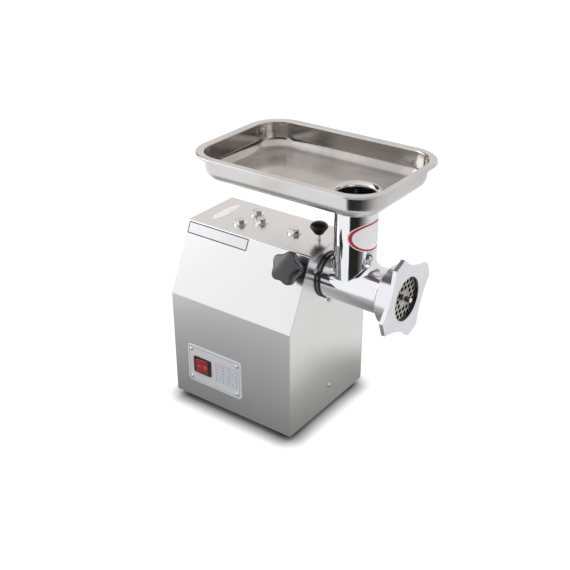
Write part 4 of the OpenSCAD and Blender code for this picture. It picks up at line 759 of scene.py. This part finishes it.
# white sticker on the slope, with a dark line inside its edge
slopeSticker = {"length": 108.0, "height": 18.0, "corner": 2.0, "lines": ((0.4, 0), (1.5, 1)),
                "below": (-105.0, -48.5, 278.0), "gap": 2.6, "lift": 0.02, "thickness": 0.12}


def addSlopeSticker():
    k = slopeSticker
    bm = printedShape(k["length"], k["height"], k["corner"], k["lines"], k["thickness"])
    down = k["gap"] + k["height"] / 2
    place = (Vector(k["below"]) - slopeUp * down + slopeOut * k["lift"]) * mm
    setAt(bm, place, onSlope)
    pieceFrom("slopeSticker", bm, "housing", ["label_white", "label_ink"],
              evened=False)


# oval badge on the top plate, cream with a pale red edge
topBadge = {"halfLength": 33.0, "halfHeight": 8.4, "band": (0.0, 0.13), "rings": 14, "steps": 112,
            "place": (-132.1, 0.0, 278.0), "lift": 0.02, "thickness": 0.12}


def addTopBadge():
    k = topBadge
    bm = ovalShape(k)
    place = Vector(k["place"]) + Vector((0, 0, k["lift"]))
    setAt(bm, place * mm, Matrix.Rotation(math.radians(90), 4, "Z"))
    pieceFrom("topBadge", bm, "housing", ["label_cream", "label_pink"], evened=False)


# oval badge rolled round the throat, white with a red band
throatBadge = {"halfLength": 41.0, "halfHeight": 21.2, "band": (0.04, 0.16), "rings": 20,
               "steps": 144, "axis": (89.3, 0.0), "radius": 29.0, "height": 309.0, "lift": 0.03,
               "thickness": 0.15}


def addThroatBadge():
    k = throatBadge
    bm = ovalShape(k)
    for vert in bm.verts:
        angle = vert.co.x / (k["radius"] * mm)
        reach = (k["radius"] + k["lift"]) * mm + vert.co.z
        vert.co = Vector((k["axis"][0] * mm + reach * math.cos(angle),
                          k["axis"][1] * mm + reach * math.sin(angle),
                          k["height"] * mm + vert.co.y))
    bmesh.ops.recalc_face_normals(bm, faces=bm.faces)
    pieceFrom("throatBadge", bm, "head", ["label_white", "label_red"], evened=False)


addSlopeSticker()
addTopBadge()
addThroatBadge()


# data plate: a blank in a pale printed finish, with a thin printed edge and an empty ruled table
# beside the switch.
# table is its left, right, lower and upper side, and columns are shares of its width
dataPlate = {"corner": 6.0, "edgeLine": 0.45, "edgeIn": 3.2, "tableLine": 0.5,
             "table": (-81.5, -42.5, 55.5, 86.0), "columns": (0.34, 0.62), "rows": 6,
             "raise": 0.03, "printDepth": 0.02, "middleArea": 1e-5,
             "edge": dict(width=0.2, segments=2, clamp=False)}


def addDataPlate():
    k = dataPlate
    pieceFrom("dataPlate", copyOf("data_plate"), "housing", ["plate_print"],
              instead=("data_plate",), edge=k["edge"])
    low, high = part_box("data_plate")
    front = low.y - k["raise"] * mm
    # the printed edge, without the sheet inside it
    length, height = [side / mm - 2 * k["edgeIn"] for side in (high.x - low.x, high.z - low.z)]
    bm = printedShape(length, height, k["corner"] - k["edgeIn"], [(k["edgeLine"], 1)],
                      k["printDepth"])
    middle = [f for f in bm.faces if f.material_index == 0 and f.calc_area() > k["middleArea"]]
    bmesh.ops.delete(bm, geom=middle, context="FACES")
    setAt(bm, ((low.x + high.x) / 2, front, (low.z + high.z) / 2), onNearSide)
    # the table's rules
    left, right, bottom, top = [value * mm for value in k["table"]]
    rules = [((left, right), (bottom + (top - bottom) * i / k["rows"],) * 2)
             for i in range(k["rows"] + 1)]
    rules += [((left + (right - left) * c,) * 2, (bottom, top)) for c in (0.0, *k["columns"], 1.0)]
    for (x0, x1), (z0, z1) in rules:
        box = bmesh.ops.create_cube(bm, size=1.0)["verts"]
        size = (max(x1 - x0, 0) + k["tableLine"] * mm, k["printDepth"] * mm,
                max(z1 - z0, 0) + k["tableLine"] * mm)
        bmesh.ops.scale(bm, vec=size, verts=box)
        bmesh.ops.translate(bm, vec=((x0 + x1) / 2, front, (z0 + z1) / 2), verts=box)
    inks = ["table_ink", "table_ink"]  # of the rules and of the printed edge
    pieceFrom("plateRules", bm, "housing", inks, evened=False)


addDataPlate()


# rocker: a soft edged red paddle with a bar on its one half and a ring on the other.
# bar is its length and width, and ring is its outer radius and width
rocker = {"bar": (4.6, 0.8), "ring": (2.4, 0.7), "ringSteps": 40, "raise": 0.03, "facesOut": -0.8,
          "edge": dict(width=0.9, segments=3, clamp=False), "sharp": 50.0}


def addRocker():
    k = rocker
    paddle = copyOf("rocker")
    shown = [f for f in paddle.faces if f.normal.y < k["facesOut"]]
    shown = sorted(shown, key=lambda f: f.calc_area())[-2:]
    halves = [(f.calc_center_median().copy(), f.normal.copy()) for f in shown]
    halves.sort(key=lambda half: half[0].x)
    bar = bmesh.new()
    bmesh.ops.create_cube(bar, size=1.0)
    bmesh.ops.scale(bar, vec=(k["bar"][0] * mm, k["bar"][1] * mm, k["raise"] * mm), verts=bar.verts)
    outer, inner, top = k["ring"][0], k["ring"][0] - k["ring"][1], k["raise"]
    ring = turnedShape([(inner, 0), (outer, 0), (outer, top), (inner, top), (inner, 0)],
                       k["ringSteps"])
    parts = []
    for bm, (centre, normal) in zip((bar, ring), halves):
        across = Vector((0, 0, 1)).cross(normal).normalized()
        turn = Matrix((across, normal.cross(across), normal)).transposed().to_4x4()
        parts.append((bm, Matrix.Translation(centre + normal * k["raise"] * mm) @ turn))
    marks = joined(parts)
    bar.free()
    ring.free()
    pieceFrom("rockerPaddle", paddle, "rocker", ["red_plastic"],
              instead=("rocker",), edge=k["edge"], sharp=k["sharp"])
    pieceFrom("rockerMarks", marks, "rocker", ["rocker_print"], evened=False)


addRocker()


# thread of the stud at the middle of the cutting plate. foot and top are shares of the pitch
studThread = {"radius": 3.75, "crest": 4.2, "pitch": 1.25, "foot": 0.48, "top": 0.06, "turns": 6,
              "start": 168.4, "axisHeight": 231.0, "steps": 28, "sharp": 50.0}


def addStudThread():
    k = studThread
    bm = bmesh.new()
    foot, top = k["foot"] * k["pitch"], k["top"] * k["pitch"]
    ridge = [(k["radius"], -foot), (k["crest"], -top), (k["crest"], top), (k["radius"], foot)]
    bm.faces.new([bm.verts.new((along * mm, 0.0, radius * mm)) for radius, along in ridge])
    bmesh.ops.spin(bm, geom=bm.verts[:] + bm.edges[:] + bm.faces[:], cent=(0, 0, 0),
                   axis=(1, 0, 0), dvec=(k["pitch"] / k["steps"] * mm, 0, 0),
                   angle=2 * math.pi * k["turns"], steps=k["turns"] * k["steps"])
    bmesh.ops.remove_doubles(bm, verts=bm.verts, dist=meshing["mergeTurned"] * mm)
    bmesh.ops.recalc_face_normals(bm, faces=bm.faces)
    place = Vector((k["start"] + k["pitch"] / 2, 0.0, k["axisHeight"])) * mm
    bmesh.ops.translate(bm, vec=place, verts=bm.verts)
    pieceFrom("studThread", bm, "auger", ["stud_steel"], sharp=k["sharp"])


addStudThread()
print("pieces made")


# floor and walls. tones are (distance in metres, brightness), and polished metal sees them: painted
# shade that darkens the floor close to the object. The card, the highlight and the shade below are
# painted reflections, which only polished metal sees
studio = {
    "floorSize": 12.0,
    "floorRoughness": 0.9,
    "floorColour": 0.16,
    "floorShown": 0.92,
    "contactReach": 0.026,
    "contactPower": 2.2,
    "contactSamples": 16,
    "footprint": ((-0.055, 0.0), (0.105, 0.095)),
    "nearTones": ((0.0, 0.23), (0.10, 0.37), (0.27, 0.54), (0.42, 1.0), (1.0, 1.05)),
    "farTones": ((0.0, 0.30), (0.06, 0.42), (0.13, 0.86), (0.40, 0.82), (1.0, 0.80)),
    "floorSides": (-0.10, 0.12),
    # painted black card: a dark patch painted into the floor and the walls, which only polished
    # metal sees
    "paintedCardFrom": (0.089, 0.0),
    "paintedCardAngles": (-92.0, -30.0),
    "paintedCardSoft": (0.10, 1.1 / 3, 1.1),  # about the first edge, before the last and after it
    "paintedCardReach": (0.47, 1.1),
    "paintedCardFades": (0.06, 0.10),
    "paintedCardHeight": (0.30, 0.60),
    "paintedCardTone": 0.02,
    # painted highlight and painted shade: a bright and a dark spot in the walls, which only
    # polished metal sees
    "paintedHighlightFrom": (-1.0, -0.36, 0.42),
    "paintedHighlightReach": (0.86, 0.97),
    "paintedHighlightTone": 2.8,
    "shadeFrom": (-0.853, 0.229, 0.469),
    "shadeReach": (0.90, 0.965),
    "shadeTone": 0.06,
    "wallNear": (1.03, 1.03, 1.04),
    "wallFar": (0.86, 0.82, 0.795),
    "wallSides": (-0.3, 0.5),
    "nearSide": (-0.53, -0.85, 0.0),
    "softLight": 0.80,
}


def grey(tone):
    return tone, tone, tone, 1.0


def sideShare(tree, way, limits):
    # 0 to 1 as the direction turns from the far side to the near side of the object
    side = vectorNode(tree, "DOT_PRODUCT", way, studio["nearSide"], output="Value")
    return smoothStep(tree, side, *limits)


def spotShare(tree, way, towards, reach):
    # 1 near one direction, and 0 away from it
    towards = Vector(towards).normalized()
    return smoothStep(tree, vectorNode(tree, "DOT_PRODUCT", way, towards, output="Value"), *reach)


def toneRamp(tree, value, stops):
    tones = put(tree, "ShaderNodeValToRGB")
    ramp = tones.color_ramp
    while len(ramp.elements) < len(stops):
        ramp.elements.new(0.5)  # put in its place below
    for element, (reach, tone) in zip(ramp.elements, stops):
        element.position = reach
        element.color = grey(tone)
    join(tree, (value, tones.inputs["Fac"]))
    return tones.outputs["Color"]


def paintedCardSector(tree, way):
    # 1 in the directions of the painted black card, with a short edge and a long soft one
    split = put(tree, "ShaderNodeSeparateXYZ")
    join(tree, (way, split.inputs[0]))
    turn = mathNode(tree, "ARCTAN2", split.outputs["Y"], split.outputs["X"])
    first, last = [math.radians(a) for a in studio["paintedCardAngles"]]
    sharp, before, after = studio["paintedCardSoft"]
    return mathNode(tree, "MULTIPLY", smoothStep(tree, turn, first - sharp, first + sharp),
                    fadeOut(tree, turn, last - before, last + after))


def mirroredShare(tree, path):
    return mathNode(tree, "MAXIMUM", path.outputs["Is Glossy Ray"],
                    path.outputs["Is Transmission Ray"])


def addFloor():
    bm = bmesh.new()
    bmesh.ops.create_grid(bm, x_segments=1, y_segments=1, size=studio["floorSize"] / 2)
    floor = objectFrom("floor", bm)
    material, tree, shader, place = startMaterial("floor")
    shader.inputs["Roughness"].default_value = studio["floorRoughness"]
    shader.inputs["Specular IOR Level"].default_value = 0.0
    shader.inputs["Emission Color"].default_value = grey(1.0)
    path = put(tree, "ShaderNodeLightPath")
    # the shade close under the object
    under = put(tree, "ShaderNodeAmbientOcclusion", {"Distance": studio["contactReach"]},
                samples=studio["contactSamples"])
    shade = mathNode(tree, "POWER", under.outputs["AO"], studio["contactPower"])
    pale = mathNode(tree, "MULTIPLY", path.outputs["Is Camera Ray"], studio["floorShown"])
    join(tree, (mathNode(tree, "MULTIPLY", pale, shade), shader.inputs["Emission Strength"]),
         (mathNode(tree, "MULTIPLY", shade, studio["floorColour"]), shader.inputs["Base Color"]))
    # what polished metal sees: a floor painted darker close to the object, as painted shade, that
    # brightens away from it, and one painted black card
    centre, half = studio["footprint"]
    folded = vectorNode(tree, "ABSOLUTE", vectorNode(tree, "SUBTRACT", place, (*centre, 0.0)))
    past = vectorNode(tree, "SUBTRACT", folded, (*half, 0.0))
    past = vectorNode(tree, "MAXIMUM", past, (0.0, 0.0, 0.0))
    away = vectorNode(tree, "LENGTH", past, output="Value")
    # painted shade: the floor's tone as metal sees it, darker near the object's footprint
    tone = mixOf(tree, "FLOAT", sideShare(tree, place, studio["floorSides"]),
                 toneRamp(tree, away, studio["farTones"]),
                 toneRamp(tree, away, studio["nearTones"]))
    # the painted black card in the floor, which only polished metal sees
    spot = vectorNode(tree, "SUBTRACT", place, (*studio["paintedCardFrom"], 0.0))
    reach = vectorNode(tree, "LENGTH", spot, output="Value")
    inner, outer = studio["paintedCardReach"]
    fadeIn, fadeAway = studio["paintedCardFades"]
    paintedCard = mathNode(tree, "MULTIPLY", paintedCardSector(tree, spot),
                    smoothStep(tree, reach, inner, inner + fadeIn))
    paintedCard = mathNode(tree, "MULTIPLY", paintedCard, fadeOut(tree, reach, outer, outer + fadeAway))
    # emission that carries the floor's painted shade and painted card to polished metal
    paintedReflection = put(tree, "ShaderNodeEmission")
    either = put(tree, "ShaderNodeMixShader")
    join(tree, (mixOf(tree, "FLOAT", paintedCard, tone, studio["paintedCardTone"]), paintedReflection.inputs["Color"]),
         (mirroredShare(tree, path), either.inputs["Fac"]),
         (shader.outputs["BSDF"], either.inputs[1]),
         (paintedReflection.outputs["Emission"], either.inputs[2]),
         (either.outputs["Shader"], tree.nodes["Material Output"].inputs["Surface"]))
    floor.data.materials.append(material)


def addWalls():
    world = bpy.data.worlds.new("studio")
    bpy.context.scene.world = world
    world.use_nodes = True
    tree = world.node_tree
    way = put(tree, "ShaderNodeTexCoord").outputs["Generated"]
    path = put(tree, "ShaderNodeLightPath")
    split = put(tree, "ShaderNodeSeparateXYZ")
    join(tree, (way, split.inputs[0]))
    # the painted black card low in the walls, which only polished metal sees
    paintedCard = mathNode(tree, "MULTIPLY", paintedCardSector(tree, way),
                    fadeOut(tree, split.outputs["Z"], *studio["paintedCardHeight"]))
    # a painted highlight spot and a painted shade spot, which only polished metal sees
    paintedReflection = spotShare(tree, way, studio["paintedHighlightFrom"], studio["paintedHighlightReach"])
    shade = spotShare(tree, way, studio["shadeFrom"], studio["shadeReach"])
    tone = mixOf(tree, "RGBA", sideShare(tree, way, studio["wallSides"]),
                 (*studio["wallFar"], 1.0), (*studio["wallNear"], 1.0))
    for share, other in ((paintedCard, "paintedCardTone"), (paintedReflection, "paintedHighlightTone"), (shade, "shadeTone")):
        tone = mixOf(tree, "RGBA", share, tone, grey(studio[other]))
    # light on plain surfaces is even, mirrors see the tones, and the camera sees white
    lit = mixOf(tree, "RGBA", mirroredShare(tree, path), grey(studio["softLight"]), tone)
    seen = mixOf(tree, "RGBA", path.outputs["Is Camera Ray"], lit, grey(1.0))
    join(tree, (seen, tree.nodes["Background"].inputs["Color"]))


lamps = {
    "overhead": dict(place=(-0.2, -0.4, 2.2), aim=(0, 0, 0.15), size=(1.8, 1.8), power=16.0),
    "frontLeft": dict(place=(-1.6, -1.6, 1.3), aim=(0, 0, 0.2), size=(1.4, 1.0), power=8.0),
    "frontRight": dict(place=(2.0, -0.7, 0.9), aim=(0.1, 0, 0.25), size=(1.2, 1.0), power=14.0),
}


def addLamps():
    for name, lamp in lamps.items():
        data = bpy.data.lights.new(name, "AREA")
        data.shape = "RECTANGLE"
        data.size, data.size_y = lamp["size"]
        data.energy = lamp["power"]
        obj = bpy.data.objects.new(name, data)
        obj.location = lamp["place"]
        way = Vector(lamp["aim"]) - Vector(lamp["place"])
        obj.rotation_euler = way.to_track_quat("-Z", "Y").to_euler()
        obj.visible_glossy = False  # polished metal sees the walls, not the lamps
        bpy.context.scene.collection.objects.link(obj)


addCamera()
addFloor()
addWalls()
addLamps()
bpy.context.scene.view_settings.view_transform = "Standard"
print("studio made")
